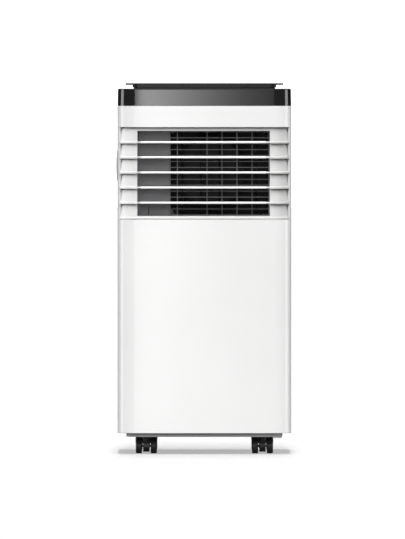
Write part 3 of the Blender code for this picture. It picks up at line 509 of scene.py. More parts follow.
def side_outline(side, inset, steps=9):
    """A side panel's plan, from the front corner to the rear seam, its outer face drawn in by inset."""
    start = PANEL_SEAM + SEAM_TURN
    outer, inner = [], []
    for i in range(steps + 1):
        a = start + (math.pi / 2 - start) * i / steps
        for track, r in ((outer, FRONT_R - inset), (inner, FRONT_R - WALL)):
            track.append((CORNER_X + r * math.sin(a), CORNER_Y - r * math.cos(a)))
    outer.append((HALF_WIDTH - inset, REAR_SEAM))
    inner.append((HALF_WIDTH - WALL, REAR_SEAM))
    return [(side * x, y) for x, y in outer + inner[::-1]]


def build_sides():
    levels = arc(LOW_EDGE_R, SHELL_BOTTOM + LOW_EDGE_R, LOW_EDGE_R, -90, 0, 4)
    levels += [(0, SHELL_TOP - TOP_EDGE_R), (TOP_EDGE_R, SHELL_TOP)]
    for side, word in SIDES:
        panel = loft([raised(side_outline(side, inset), z) for inset, z in levels])
        if side < 0:
            panel = cut(panel, rod("x", CAP_Y, CAP_Z, CAP_HOLE_R, -170, -155))
        piece(word + "_panel", panel, "cabinet", "white_shell", [word + "_side_panel"])


def build_round_cap():
    """A shallow dome on the left panel, with a plug in the panel's hole."""
    steps = 10
    profile = [
        (CAP_PLUG_END, CAP_PLUG_R),
        (CAP_SEAT, CAP_PLUG_R),
        (CAP_SEAT, CAP_R - 0.3),
        (CAP_SEAT - 0.2, CAP_R),
    ]
    for i in range(1, steps + 1):
        share = 1 - i / (steps + 0.6)
        fall = (CAP_RISE - CAP_EDGE_RISE) * share**CAP_CURVE
        profile.append((-HALF_WIDTH - CAP_RISE + fall, CAP_R * share))
    cap = turned("x", CAP_Y, CAP_Z, profile, 72)
    piece("round_cap", cap, "cabinet", "white_shell", ["side_cap"])


WINDOW_HALF, WINDOW_RIM, WINDOW_RECESS = 118.0, 4.0, 1.9
DRAIN_HOLE_R, GLAND_HOLE_R = 7.0, 8.0
SCREW_HOLE_R, SCREW_HOLE_DEPTH = 4.4, 4.0


def build_rear():
    """The wrap-round back, with two recessed windows and holes for the port, drain, gland and screws."""
    through = (REAR - 10, REAR + 10)
    outer = [(HALF_WIDTH, REAR_SEAM + 2 * HALF_SEAM)] + rear_corner(0)
    inner = [(HALF_WIDTH - WALL, REAR_SEAM + 2 * HALF_SEAM)] + rear_corner(WALL)
    outline = outer + [(-x, y) for x, y in reversed(outer)]
    outline += [(-x, y) for x, y in inner] + list(reversed(inner))
    cuts = []
    for low, high in (UPPER_WINDOW, LOWER_WINDOW):
        edge = WINDOW_HALF + WINDOW_RIM
        cuts.append(box(-WINDOW_HALF, WINDOW_HALF, *through, low, high))
        cuts.append(
            box(-edge, edge, REAR - WINDOW_RECESS, through[1], low - WINDOW_RIM, high + WINDOW_RIM)
        )
    cuts.append(rod("y", 0, PORT_Z, PORT_R, *through, 64))
    cuts.append(rod("y", DRAIN_X, DRAIN_Z, DRAIN_HOLE_R, *through))
    cuts.append(rod("y", GLAND_X, GLAND_Z, GLAND_HOLE_R, *through))
    for x, z in REAR_SCREWS:
        cuts.append(rod("y", x, z, SCREW_HOLE_R, REAR - SCREW_HOLE_DEPTH, through[1], 24))
    panel = cut(prism("z", outline, SHELL_BOTTOM, SHELL_TOP), *cuts)
    piece("rear_panel", panel, "cabinet", "white_shell", ["rear_shell"])


LID_TAPER, LID_EDGE_R = 0.75, 2.2
LID_WALL, LID_ROOF = 3.6, 3.0
SKIRT_BOTTOM, SKIRT_OUTER, SKIRT_INNER = 650.5, 3.4, 5.4
GRIP_BOX_X, GRIP_BOX_HALF, GRIP_BOX_BOTTOM = (134.4, 161.4), 52.0, 669.5
GRIP_X, GRIP_HALF, GRIP_BOTTOM, GRIP_R = (137.0, 158.4), 49.0, 672.0, 8.0
WIRING_SLOT_X, WIRING_SLOT_Y = (-20.0, 20.0), (-60.0, -40.0)


def build_lid():
    """The glossy band: a hollow cap with a skirt inside the casing, two hand grips and a wiring slot."""
    levels = [(0.4, LID_BOTTOM), (0.2, LID_BOTTOM + 0.4), (LID_TAPER, LID_TOP - LID_EDGE_R)]
    levels += arc(LID_TAPER + LID_EDGE_R, LID_TOP - LID_EDGE_R, LID_EDGE_R, 0, 90, 5)[1:]
    lid = loft([raised(casing_outline(inset), z) for inset, z in levels])
    hollow = prism("z", casing_outline(LID_WALL), LID_BOTTOM - 20, LID_TOP - LID_ROOF)
    skirt = prism("z", casing_outline(SKIRT_OUTER), SKIRT_BOTTOM, LID_BOTTOM + 1)
    skirt = cut(skirt, prism("z", casing_outline(SKIRT_INNER), SKIRT_BOTTOM - 10, LID_BOTTOM + 10))
    grip_boxes, grips = [], []
    for side, _word in SIDES:
        walls = (*on_side(side, *GRIP_BOX_X), -GRIP_BOX_HALF, GRIP_BOX_HALF)
        grip_boxes.append(box(*walls, GRIP_BOX_BOTTOM, LID_TOP - 1))
        outline = rounded(*on_side(side, *GRIP_X), -GRIP_HALF, GRIP_HALF, GRIP_R, 6)
        grips.append(prism("z", outline, GRIP_BOTTOM, LID_TOP + 5))
    slot = box(*WIRING_SLOT_X, *WIRING_SLOT_Y, LID_TOP - 8, LID_TOP + 5)
    lid = cut(join(cut(lid, hollow), skirt, *grip_boxes), *grips, slot)
    piece("lid_band", lid, "cabinet", "black_gloss", ["lid"])


# ---------------------------------------------------------------- top plate and controls
WING_HALF, WING_BOTTOM, WING_R = 149.0, 696.8, 14.0
WING_LEVELS = (
    (0.5, WING_BOTTOM), (0, WING_BOTTOM + 0.5), (0, HEIGHT - 1.4), (0.35, HEIGHT - 0.5), (1.2, HEIGHT)
)
DECK_HALF, DECK_FRONT, DECK_REAR = 135.5, -132.0, 128.0
DECK_BOTTOM = LID_TOP + 2.6
FOOT_BOTTOM, FOOT_TOP = LID_TOP + 0.1, LID_TOP + 3.5
DISPLAY_HALF, DISPLAY_Y, DISPLAY_R, DISPLAY_GAP = 32.0, (-109.0, -83.0), 1.0, 0.4
DISPLAY_LEVELS = ((0, 698.5), (0, 699.5), (0.3, 699.8))
SEAT_R, SEAT_BOTTOM, SEAT_LEDGE = 1.2, 698.2, 3.0
PLATE_THROUGH = (690.0, 705.0)
BUTTONS = (("power", -96.0), ("mode", -73.0), ("fan", -50.0), ("down", 50.0), ("up", 73.0), ("timer", 96.0))
BUTTON_Y, BUTTON_HALF_X, BUTTON_HALF_Y, BUTTON_R, BUTTON_GAP = -96.0, 9.0, 6.0, 3.0, 0.4
BUTTON_LEVELS = ((0, 696), (0, 699.0), (0.25, 699.45), (0.8, 699.6))
FLANGE_REACH, FLANGE_HEIGHTS = 2.0, (695.0, 696.4)
STEM_HALF, STEM_HEIGHTS = 2.0, (694.5, 695.5)
MARK_SECTION = ((699.55, 2.6), (699.72, 2.6), (699.72, 3.1), (699.55, 3.1))


def deck_block(inset, radius, steps, low, high):
    outline = rounded(
        -DECK_HALF + inset, DECK_HALF - inset, DECK_FRONT + inset, DECK_REAR - inset, radius, steps
    )
    return prism("z", outline, low, high)


def button_area(x, grow=0.0):
    """The sides of a button's rectangle, moved out by grow."""
    half_x, half_y = BUTTON_HALF_X + grow, BUTTON_HALF_Y + grow
    return x - half_x, x + half_x, BUTTON_Y - half_y, BUTTON_Y + half_y


def build_top():
    """A thin plate with overhanging ends on a hollow deck, which stands on a recessed foot."""
    wings = slab(-WING_HALF, WING_HALF, DECK_FRONT, DECK_REAR, WING_R, WING_LEVELS, 10)
    deck = deck_block(0, 10, 8, DECK_BOTTOM, WING_BOTTOM + 1)
    foot = deck_block(2, 8, 8, FOOT_BOTTOM, FOOT_TOP)
    hollow = deck_block(3, 7, 6, LID_TOP - 5, WING_BOTTOM)
    front, back = DISPLAY_Y
    edge = DISPLAY_HALF + DISPLAY_GAP
    seat = rounded(-edge, edge, front - DISPLAY_GAP, back + DISPLAY_GAP, SEAT_R, 4)
    opening = DISPLAY_HALF - SEAT_LEDGE
    cuts = [hollow, prism("z", seat, SEAT_BOTTOM, PLATE_THROUGH[1])]
    cuts.append(box(-opening, opening, front + SEAT_LEDGE, back - SEAT_LEDGE, *PLATE_THROUGH))
    for _name, x in BUTTONS:
        hole = rounded(*button_area(x, BUTTON_GAP), BUTTON_R + BUTTON_GAP, 6)
        cuts.append(prism("z", hole, *PLATE_THROUGH))
    plate = cut(join(wings, deck, foot), *cuts)
    piece("top_deck", plate, "cabinet", "black_gloss", ["top_plate"], finish="deck_black")


def build_display():
    front, back = DISPLAY_Y
    rings = []
    for inset, z in DISPLAY_LEVELS:
        edge = DISPLAY_HALF - inset
        rings.append(raised(rounded(-edge, edge, front + inset, back - inset, DISPLAY_R, 4), z))
    piece("display_lens", loft(rings), "cabinet", "display_glass", ["display_window"])


def build_buttons():
    """Each button: a rounded cap with a flange that holds it down, a stem, and a raised ring as its mark."""
    for name, x in BUTTONS:
        body = "button_" + name
        cap = slab(*button_area(x), BUTTON_R, BUTTON_LEVELS, 6)
        flange = box(*button_area(x, FLANGE_REACH), *FLANGE_HEIGHTS)
        stem = box(x - STEM_HALF, x + STEM_HALF, BUTTON_Y - STEM_HALF, BUTTON_Y + STEM_HALF, *STEM_HEIGHTS)
        piece("key_" + name, join(cap, flange, stem), body, "button_grey", [body])
        mark = hoop("z", x, BUTTON_Y, MARK_SECTION, 32)
        piece("key_mark_" + name, mark, body, "button_grey", finish="key_marks")


# ---------------------------------------------------------------- tray
TRAY_HALF_X, TRAY_HALF_Y, TRAY_R, TRAY_WALL = 147.5, 134.0, 30.0, 3.0
TRAY_LEVELS = ((1.0, TRAY_BOTTOM), (0.3, TRAY_BOTTOM + 0.3), (0, TRAY_BOTTOM + 1.0), (0, TRAY_TOP))
RIM_INSET, RIM_THICK = WALL + 0.4, 3.0
SOCKET_R, SOCKET_TOP, STEM_HOLE_R, STEM_HOLE_TOP = 9.0, 59.0, 5.0, 56.8
SKID_X, SKID_Y, SKID_DROP = (129.0, 146.0), (-131.0, -121.0), 2.3
SPOUT_R, SPOUT_BORE_R, SPOUT_END = 6.0, 3.6, 152.2


def build_tray():
    """The base: a rounded dish with a rim in the casing, caster sockets, a skid and the drain's spout."""
    dish = slab(-TRAY_HALF_X, TRAY_HALF_X, -TRAY_HALF_Y, TRAY_HALF_Y, TRAY_R, TRAY_LEVELS, 12)
    rim = prism("z", casing_outline(RIM_INSET), TRAY_TOP - RIM_THICK, TRAY_TOP)
    half_x, half_y = TRAY_HALF_X - TRAY_WALL, TRAY_HALF_Y - TRAY_WALL
    inside = rounded(-half_x, half_x, -half_y, half_y, TRAY_R - TRAY_WALL, 12)
    hollow = prism("z", inside, TRAY_BOTTOM + TRAY_WALL, TRAY_TOP + 5)
    tray = cut(join(dish, rim), hollow)
    added, holes = [], []
    for _place, x, y in CASTER_SPOTS:
        added.append(rod("z", x, y, SOCKET_R, TRAY_BOTTOM + 1, SOCKET_TOP, 24))
        holes.append(rod("z", x, y, STEM_HOLE_R, TRAY_BOTTOM - 5, STEM_HOLE_TOP, 24))
    added.append(box(*SKID_X, *SKID_Y, TRAY_BOTTOM - SKID_DROP, TRAY_BOTTOM + 1))
    added.append(rod("y", DRAIN_X, DRAIN_Z, SPOUT_R, TRAY_HALF_Y - 2, SPOUT_END, 24))
    holes.append(rod("y", DRAIN_X, DRAIN_Z, SPOUT_BORE_R, 125, 160, 24))
    piece("tray", cut(join(tray, *added), *holes), "cabinet", "tray_grey", ["base_tray"])


# ---------------------------------------------------------------- air outlet
OPEN_LEFT, OPEN_RIGHT, OPEN_BOTTOM, OPEN_TOP = -126.6, 123.4, 449.5, 610.1
ROW_EDGES = (616.8, 586.2, 557.6, 529.1, 500.6, 472.0, 443.3)
ROW_INSET, FRAME_DEPTH, FRAME_BACK = 5.4, 9.0, -122.0
GROOVE_DEPTH, GROOVE_HEIGHT, GROOVE_SLOPE = 8.2, 1.9, 0.4
# a lip as (inset, height above its row's lower edge)
LIP = 4.1
LIP_PROFILE = ((1.4, LIP + 0.6), (0.8, LIP), (0.25, LIP - 0.5), (0, LIP - 1.2), (0, 0.3), (0.3, 0))
RETURN_X, RETURN_Z, RETURN_FRONT = 3.0, 2.8, -142.0

BLADE_HEIGHTS = (588.6, 560.2, 531.5, 503.1, 474.4)
BLADE_LEFT, BLADE_RIGHT, BLADE_FRONT, BLADE_BACK, BLADE_R = -122.0, 118.0, -146.8, -120.3, 5.0
BLADE_HALF_THICK = 2.05
BLADE_EDGE = ((1.6, 0), (0.55, 0.35), (0, 1.3))  # (inset, depth from the blade's face)
PIVOT_Y = (BLADE_FRONT + BLADE_BACK) / 2
CRANK_Y = PIVOT_Y + 10.0
PIN_R, PIN_HOLE_R, PIN_BITE = 1.7, 2.15, 6.0
ARM_RIGHT = OPEN_LEFT - RETURN_X - 1.2
ARM_LEFT = ARM_RIGHT - 2.4
ARM_END, ARM_HALF = 2.8, 2.6
CRANK_PIN = 6.2


def build_louvre_frame():
    """Six clapboard rows, each a groove, a slope and a standing lip, round the opening and its returns."""
    profile = [(FRAME_DEPTH, ROW_EDGES[-1]), (FRAME_DEPTH, ROW_EDGES[0])]
    for top, bottom in zip(ROW_EDGES, ROW_EDGES[1:]):
        groove_foot = top - GROOVE_HEIGHT
        profile += [(GROOVE_DEPTH, top), (GROOVE_DEPTH, groove_foot), (ROW_INSET, groove_foot - GROOVE_SLOPE)]
        profile += [(inset, bottom + rise) for inset, rise in LIP_PROFILE]
    rows = swept_front(profile, PANEL_SEAM - 2 * SEAM_TURN)
    returns = box(
        OPEN_LEFT - RETURN_X, OPEN_RIGHT + RETURN_X,
        RETURN_FRONT, FRAME_BACK,
        OPEN_BOTTOM - RETURN_Z, OPEN_TOP + RETURN_Z,
    )
    opening = box(OPEN_LEFT, OPEN_RIGHT, -BEYOND, -100, OPEN_BOTTOM, OPEN_TOP)
    pin_holes = [rod("x", PIVOT_Y, z, PIN_HOLE_R, -135, 132, 20) for z in BLADE_HEIGHTS]
    louvre_frame = cut(join(rows, returns), opening, *pin_holes)
    piece("louvre_frame", louvre_frame, "cabinet", "louvre_frame_white", ["louvre_bezel"])


def build_blades():
    """Each blade has a pivot pin at either end, and at the left an arm with the link bar's pin."""
    for number, z in enumerate(BLADE_HEIGHTS, 1):
        levels = [(inset, z - BLADE_HALF_THICK + depth) for inset, depth in BLADE_EDGE]
        levels += [(inset, z + BLADE_HALF_THICK - depth) for inset, depth in reversed(BLADE_EDGE)]
        blade = slab(BLADE_LEFT, BLADE_RIGHT, BLADE_FRONT, BLADE_BACK, BLADE_R, levels, 8)
        parts = [
            rod("x", PIVOT_Y, z, PIN_R, ARM_LEFT + 1.2, BLADE_LEFT + PIN_BITE, 20),
            rod("x", PIVOT_Y, z, PIN_R, BLADE_RIGHT - PIN_BITE, OPEN_RIGHT + 2, 20),
            box(ARM_LEFT, ARM_RIGHT, PIVOT_Y - ARM_END, CRANK_Y + ARM_END, z - ARM_HALF, z + ARM_HALF),
            rod("x", CRANK_Y, z, PIN_R, ARM_LEFT - CRANK_PIN, ARM_LEFT + 1.2, 20),
        ]
        body = "louvre_%d" % number
        piece("blade_%d" % number, join(blade, *parts), body, "louvre_white", [body])


RIB_XS, RIB_HALF, RIB_Y = (5.0, 33.2, 90.0), 0.7, (-117.2, -115.8)
CATCH_X, CATCH_Y, CATCH_Z = (-105.9, -104.5), (-119.2, -117.4), (451.0, 466.0)


def build_guard_ribs():
    low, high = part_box("guard_grille")
    span = (low.z / MM + 1.0, high.z / MM - 1.0)
    ribs = [box(x - RIB_HALF, x + RIB_HALF, *RIB_Y, *span) for x in RIB_XS]
    piece("guard_ribs", gather(ribs), "cabinet", "duct_grey")


def build_catch():
    """A small catch at the foot of the blank panel behind the louvres."""
    catch = prism("z", rounded(*CATCH_X, *CATCH_Y, 0.3, 2), *CATCH_Z)
    piece("duct_catch", catch, "cabinet", "dark_plastic")


NUT_R, NUT_THICK = 7.2, 3.2
# (distance from the wheel, radius)
NUT_DOME = ((-5.4, 1.2), (-5.0, 2.8), (-4.0, 4.2), (-2.6, 4.8), (-1.0, 4.8))


def build_fan_nut():
    """A dark nut with a domed end closes the bore of the upper fan wheel, which shows through the guard."""
    low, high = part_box("upper_fan_wheel")
    x = (low.x + high.x) / (2 * MM) - PLACE_X
    y = low.y / MM - PLACE_Y - 0.1
    z = (low.z + high.z) / (2 * MM)
    hexagon = prism("y", circle(x, z, NUT_R, 6), y - NUT_THICK, y)
    dome = turned("y", x, z, [(y + place, radius) for place, radius in NUT_DOME], 24)
    piece("fan_nut", join(hexagon, dome), "upper_fan_wheel", "dark_plastic")


# ---------------------------------------------------------------- running gear
CASTER_TRAIL, WHEEL_R = 10.0, 14.2
# half of each turned profile: (distance from the caster's middle plane, radius), outermost first
HOOD_HALF = ((20.75, 14.1), (20.3, 15.7), (19.3, 17.0), (17.8, 17.7))
HOOD_WALL_R, TONGUE_HALF, TONGUE_FOOT = 15.4, 6.1, 3.6
NECK_R, NECK_Z, STEM_R, STEM_Z = 7.0, (22.0, 32.0), 4.5, (30.0, 56.0)
AXLE_HOLE_R = 2.7
WHEEL_HALF = (
    (19.9, 4.2), (19.3, 4.8), (18.7, 5.0), (18.7, 10.2), (19.5, 11.0), (19.9, 12.0), (19.7, 13.0),
    (18.9, 13.9), (17.8, WHEEL_R), (9.7, WHEEL_R), (8.8, 13.8), (8.2, 12.8), (8.2, 2.2),
)


def mirrored_turning(x, y, half, sides):
    """A solid turned about the caster's axle, the same on both sides of its middle plane."""
    profile = [(x - w, r) for w, r in half] + [(x + w, r) for w, r in reversed(half)]
    return turned("x", y, WHEEL_R, profile, sides)


def build_hood(place, x, y):
    """A round hood over both wheels, with a tongue down to the axle between them, a neck and a stem."""
    axle_y = y + CASTER_TRAIL
    reach = (axle_y - 30, axle_y + 30)
    hood = mirrored_turning(x, axle_y, HOOD_HALF, 40)
    cuts = []
    for side, _word in SIDES:
        span = sorted((x + side * TONGUE_HALF, x + side * 30))
        cuts.append(prism("x", circle(axle_y, WHEEL_R, HOOD_WALL_R, 40), *span))
        cuts.append(box(*span, *reach, -5, 20))
    cuts.append(box(x - 10, x + 10, *reach, -5, TONGUE_FOOT))
    neck = rod("z", x, y, NECK_R, *NECK_Z, 24)
    stem = rod("z", x, y, STEM_R, *STEM_Z, 24)
    fork = join(cut(hood, *cuts), neck, stem)
    fork = cut(fork, rod("x", axle_y, WHEEL_R, AXLE_HOLE_R, x - 10, x + 10, 24))
    piece("hood_" + place, fork, "fork_" + place, "caster_black", ["fork_" + place])


def build_rollers(place, x, y):
    """Two wheels with dished faces on one axle."""
    wheels = mirrored_turning(x, y + CASTER_TRAIL, WHEEL_HALF, 48)
    piece("rollers_" + place, wheels, "wheels_" + place, "caster_wheel", ["wheels_" + place])


def build_casters():
    for place, x, y in CASTER_SPOTS:
        build_hood(place, x, y)
        build_rollers(place, x, y)


# ---------------------------------------------------------------- rear fittings
# turned sections: (y, radius)
COLLAR_SECTION = (
    (147.2, 61), (171.4, 61), (172, 61.6), (172, 63.9), (171.4, 64.5), (153.8, 64.5),
    (153, 65.3), (153, 75.2), (152.2, 76), (150.2, 76), (150.2, 65.4), (147.2, 65.4),
)
BEAD_SECTION = ((163, 64.2), (165, 64.2), (164.7, 65.3), (163.3, 65.3))
STOPPER_PROFILE = ((140, 3.1), (152.8, 3.1), (152.8, 8.6), (153.2, 9), (158.4, 9), (159.5, 8.4), (160, 7.2))
GLAND_SECTION = (
    (147.2, 4), (155.6, 4), (156, 4.4), (156, 6.6), (153.4, 10.6),
    (152.8, 11), (150.2, 11), (150.2, 7.3), (147.2, 7.3),
)
SCREW_PROFILE = ((REAR - 4.6, 3.6), (REAR - 2.6, 3.6), (REAR - 2.2, 3.0))
SCREW_SLOT_LONG, SCREW_SLOT_WIDE, SCREW_SLOT_FLOOR = 2.2, 0.45, REAR - 3.0


def build_hose_collar():
    collar = hoop("y", 0, PORT_Z, COLLAR_SECTION, 96)
    piece("hose_collar", collar, "cabinet", "white_shell", ["exhaust_spigot"])
    bead = hoop("y", 0, PORT_Z, BEAD_SECTION, 96)
    piece("collar_bead", bead, "cabinet", "white_shell")


def build_stopper():
    stopper = turned("y", DRAIN_X, DRAIN_Z, STOPPER_PROFILE, 48)
    piece("stopper", stopper, "drain_plug", "rubber_plug", ["drain_plug"])


def build_gland():
    gland = hoop("y", GLAND_X, GLAND_Z, GLAND_SECTION, 64)
    piece("gland_ring", gland, "cabinet", "dark_plastic", ["cord_gland"])


def build_rear_screws():
    """Cross-slotted heads, sunk in the back's screw holes."""
    heads = []
    for x, z in REAR_SCREWS:
        head = turned("y", x, z, SCREW_PROFILE, 24)
        slots = []
        for half_x, half_z in ((SCREW_SLOT_LONG, SCREW_SLOT_WIDE), (SCREW_SLOT_WIDE, SCREW_SLOT_LONG)):
            slots.append(box(x - half_x, x + half_x, SCREW_SLOT_FLOOR, REAR, z - half_z, z + half_z))
        heads.append(cut(head, *slots))
    piece("rear_screws", gather(heads), "cabinet", "motor_steel")


MESH_HALF, MESH_COLUMNS, MESH_PITCH, STRAND_HALF = 112.0, 52, 4.4, 0.22
COLUMN_Y, ROW_Y = (143.0, 143.4), (143.1, 143.5)


def build_filter_mesh(name, window, body):
    """Fine crossed strands behind a filter grille."""
    low, high = window
    strands = []
    for k in range(1, MESH_COLUMNS):
        x = -MESH_HALF + 2 * MESH_HALF * k / MESH_COLUMNS
        strands.append(box(x - STRAND_HALF, x + STRAND_HALF, *COLUMN_Y, low + 4, high - 4))
    rows = int((high - low) / MESH_PITCH)
    for k in range(1, rows):
        z = low + (high - low) * k / rows
        strands.append(box(-MESH_HALF, MESH_HALF, *ROW_Y, z - STRAND_HALF, z + STRAND_HALF))
    piece(name, gather(strands), body, "dark_plastic")


FIN_PITCH, FIN_THICK = 2.6, 0.5


def build_fins(name, node):
    """Thin fin edges standing just proud of a coil block, front and back."""
    low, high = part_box(node)
    first = low.x / MM - PLACE_X + 4
    last = high.x / MM - PLACE_X - 14
    depth = (low.y / MM - PLACE_Y + 2.4, high.y / MM - PLACE_Y - 2.4)
    height = (low.z / MM + 2.2, high.z / MM - 2.2)
    fins = []
    for k in range(int((last - first) / FIN_PITCH)):
        x = first + FIN_PITCH * k
        fins.append(box(x, x + FIN_THICK, *depth, *height))
    piece(name, gather(fins), "cabinet", "coil_fins")


# ---------------------------------------------------------------- camera
CAMERA_DISTANCE, CAMERA_CLIP = 20.0, 200.0
SENSOR = 36.0
VIEW_HEIGHT = 1.016
EYE_HEIGHT, AIM_HEIGHT = 0.697, 0.3488
CAMERA_LEFT = 3.6 * MM


def build_camera():
    """Far off and level with the top plate, looking down just enough to centre the machine."""
    data = bpy.data.cameras.new("camera")
    data.sensor_width = SENSOR
    data.lens = SENSOR * CAMERA_DISTANCE / VIEW_HEIGHT
    data.clip_end = CAMERA_CLIP
    camera = bpy.data.objects.new("camera", data)
    tilt = math.atan((EYE_HEIGHT - AIM_HEIGHT) / CAMERA_DISTANCE)
    camera.location = (PLACE_X * MM - CAMERA_LEFT, CAD_BOX[0][1] - CAMERA_DISTANCE, EYE_HEIGHT)
    camera.rotation_euler = (math.pi / 2 - tilt, 0, 0)
    bpy.context.scene.collection.objects.link(camera)
    bpy.context.scene.camera = camera


# ---------------------------------------------------------------- light and floor
SKY_LOW, SKY_HIGH = 0.12, 0.7
SKY_FADE = (-0.1, 0.3)
KEY_DISTANCE = 3.0
# name, azimuth, elevation, strength, width in degrees, falls on the machine, falls on the louvre frame
KEYS = (
    ("low_key", -8, 27, 1.23, 36, True, False),
    ("high_key", -8, 65, 2.2, 50, True, True),
    ("frame_key", -36, 28, 1.2, 40, False, True),
    ("left_fill", -90, 20, 0.5, 60, True, True),
    ("right_fill", 75, 20, 0.85, 60, True, False),
    ("rear_fill", 180, 35, 1.1, 60, True, False),
)
# azimuth, elevations
FLOOR_KEYS = ((0, (50, 56, 62, 68, 74, 80)), (180, (60, 67, 74, 81)))
FLOOR_KEY, FLOOR_KEY_WIDTH = 0.66, 7
# cards: radiance, place and size
CARD_HEIGHT, CARD_LENGTH = 0.5, 1.2
FRONT_CARD, FRONT_CARD_X, FRONT_CARD_WIDTH, FRONT_CARD_AWAY = 6.9, 0.015, 0.47, 1.29
FRONT_CARD_FADE = ((0.0, 0.88), (0.06, 1.0), (0.25, 0.7), (0.5, 0.36), (0.75, 0.14), (1.0, 0.06))
SIDE_STRIP, SIDE_STRIP_X, SIDE_STRIP_Y, SIDE_STRIP_WIDTH = 4.0, 1.0, -0.06, 0.36
TOP_CARD, TOP_CARD_PLACE, TOP_CARD_SIZE = 1.0, (0, -0.1, 2.1), (1.5, 1.5)
STAGE_REACH = 40.0
FLOOR_GLOW, FLOOR_COLOUR = 0.42, (0.25, 0.25, 0.25)
BACKDROP_GLOW, BACKDROP_COLOUR = 1.0, (0.9, 0.9, 0.9)


def build_world():
    """Even light from above the horizon and little from below it, so overhangs shade what is under them."""
    world = bpy.data.worlds.new("studio")
    bpy.context.scene.world = world
    world.use_nodes = True
    nodes, links = world.node_tree.nodes, world.node_tree.links
    direction = nodes.new("ShaderNodeTexCoord")
    axes = nodes.new("ShaderNodeSeparateXYZ")
    links.new(direction.outputs["Generated"], axes.inputs["Vector"])
    height = nodes.new("ShaderNodeMapRange")
    height.inputs["From Min"].default_value = SKY_FADE[0]
    height.inputs["From Max"].default_value = SKY_FADE[1]
    height.inputs["To Min"].default_value = SKY_LOW
    height.inputs["To Max"].default_value = SKY_HIGH
    links.new(axes.outputs["Z"], height.inputs["Value"])
    links.new(height.outputs["Result"], nodes["Background"].inputs["Strength"])
    nodes["Background"].inputs["Color"].default_value = (1, 1, 1, 1)
    world.cycles_visibility.glossy = False


def stage_plane(name, corners, glow, colour):
    """Floor or backdrop: seen by the camera, left out of the object's own reflections and bounces."""
    mesh = bpy.data.meshes.new(name)
    mesh.from_pydata(corners, [], [(0, 1, 2, 3)])
    plane = bpy.data.objects.new(name, mesh)
    bpy.context.scene.collection.objects.link(plane)
    material = plastic(name + "_paper", colour, 0.8, grain=0.01, specular=0.0, drift=0.002)
    shader = material.node_tree.nodes["Principled BSDF"]
    shader.inputs["Emission Color"].default_value = (1, 1, 1, 1)
    shader.inputs["Emission Strength"].default_value = glow
    mesh.materials.append(material)
    plane.visible_glossy = False
    plane.visible_diffuse = False
    return plane


def build_stage():
    """A floor, and a wall far behind it that throws no shadow on it."""
    far = STAGE_REACH
    ground = [(-far, -far, 0), (far, -far, 0), (far, far, 0), (-far, far, 0)]
    floor = stage_plane("floor", ground, FLOOR_GLOW, FLOOR_COLOUR)
    wall = [(-far, far, -1), (far, far, -1), (far, far, far), (-far, far, far)]
    backdrop = stage_plane("backdrop", wall, BACKDROP_GLOW, BACKDROP_COLOUR)
    backdrop.visible_shadow = False
    return floor, backdrop


def add_light(kind, name, centre, target):
    """A light that the camera looks straight through."""
    data = bpy.data.lights.new(name, kind)
    light = bpy.data.objects.new(name, data)
    light.location = centre
    light.rotation_euler = (Vector(target) - Vector(centre)).to_track_quat("-Z", "Y").to_euler()
    light.visible_camera = False
    bpy.context.scene.collection.objects.link(light)
    return light


def fade_across(data, fade):
    """Grades an area light across its width, by (place from 0 to 1, share of full brightness) pairs."""
    data.use_nodes = True
    nodes, links = data.node_tree.nodes, data.node_tree.links
    across = nodes.new("ShaderNodeSeparateXYZ")
    links.new(nodes.new("ShaderNodeNewGeometry").outputs["Parametric"], across.inputs["Vector"])
    ramp = nodes.new("ShaderNodeValToRGB")
    stops = ramp.color_ramp.elements
    for place, _share in fade[1:-1]:
        stops.new(place)
    for stop, (_place, share) in zip(stops, fade):
        stop.color = (share, share, share, 1)
    links.new(across.outputs["X"], ramp.inputs["Fac"])
    links.new(ramp.outputs["Color"], nodes["Emission"].inputs["Strength"])


def add_card(name, centre, target, size, radiance):
    """A softbox seen only in reflections; radiance is what a mirror would show of it."""
    card = add_light("AREA", name, centre, target)
    card.visible_diffuse = False
    card.data.shape = "RECTANGLE"
    card.data.size, card.data.size_y = size
    card.data.energy = radiance * math.pi * size[0] * size[1]
    return card


def build_cards():
    """What the glossy lid and casing reflect: a graded card in front, a strip at each side, one above."""
    front = CAD_BOX[0][1]
    front_card = add_card(
        "front_card",
        (FRONT_CARD_X, front - FRONT_CARD_AWAY, CARD_HEIGHT), (FRONT_CARD_X, front, CARD_HEIGHT),
        (FRONT_CARD_WIDTH, CARD_LENGTH), FRONT_CARD,
    )
    fade_across(front_card.data, FRONT_CARD_FADE)
    for side, word in SIDES:
        add_card(
            word + "_strip",
            (side * SIDE_STRIP_X, SIDE_STRIP_Y, CARD_HEIGHT), (0, SIDE_STRIP_Y, CARD_HEIGHT),
            (SIDE_STRIP_WIDTH, CARD_LENGTH), SIDE_STRIP,
        )
    add_card("top_card", TOP_CARD_PLACE, (0, 0, 0), TOP_CARD_SIZE, TOP_CARD)


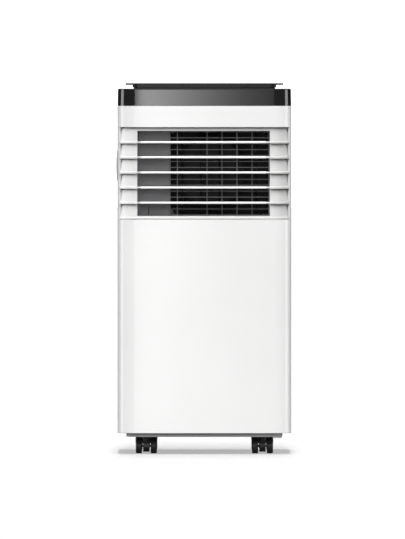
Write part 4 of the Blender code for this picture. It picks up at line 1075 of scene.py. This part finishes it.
def light_only(light, objects, leave_out=False):
    """Lets a light fall on these objects and no others, or on all the others with leave_out."""
    group = bpy.data.collections.new(light.name + "_reach")
    for obj in objects:
        group.objects.link(obj)
    light.light_linking.receiver_collection = group
    if leave_out:
        for entry in group.collection_objects:
            entry.light_linking.link_state = "EXCLUDE"


def add_key(name, azimuth, elevation, strength, width):
    """A wide even light from far off, for matt surfaces only."""
    a, e = math.radians(azimuth), math.radians(elevation)
    direction = Vector((math.sin(a) * math.cos(e), -math.cos(a) * math.cos(e), math.sin(e)))
    light = add_light("SUN", name, KEY_DISTANCE * direction, (0, 0, 0))
    light.data.energy = strength
    light.data.angle = math.radians(width)
    light.visible_glossy = False
    return light


def build_keys(floor, backdrop):
    louvre_frame = bpy.data.objects["louvre_frame"]
    for name, azimuth, elevation, strength, width, on_machine, on_frame in KEYS:
        key = add_key(name, azimuth, elevation, strength, width)
        if not on_machine:
            light_only(key, [louvre_frame])
        elif on_frame:
            light_only(key, [floor, backdrop], leave_out=True)
        else:
            light_only(key, [floor, backdrop, louvre_frame], leave_out=True)
    # narrow lights side by side from front to back draw the floor's shadow out in depth, not sideways
    for azimuth, elevations in FLOOR_KEYS:
        for elevation in elevations:
            name = "floor_key_%d_%d" % (azimuth, elevation)
            light_only(add_key(name, azimuth, elevation, FLOOR_KEY, FLOOR_KEY_WIDTH), [floor])


def build_studio():
    """Light and floor; the pieces come first, because some lights fall on chosen pieces only."""
    bpy.context.scene.view_settings.view_transform = "Standard"
    bpy.context.scene.view_settings.look = "None"
    build_world()
    floor, backdrop = build_stage()
    build_cards()
    build_keys(floor, backdrop)


build_camera()
finish_carried_nodes()
build_front()
build_sides()
build_round_cap()
build_rear()
build_lid()
build_top()
build_display()
build_buttons()
build_tray()
build_louvre_frame()
build_blades()
build_guard_ribs()
build_catch()
build_fan_nut()
build_casters()
build_hose_collar()
build_stopper()
build_gland()
build_rear_screws()
build_filter_mesh("upper_mesh", UPPER_WINDOW, "upper_filter_grille")
build_filter_mesh("lower_mesh", LOWER_WINDOW, "lower_filter_grille")
build_fins("evaporator_fins", "evaporator_coil")
build_fins("condenser_fins", "condenser_coil")
build_studio()
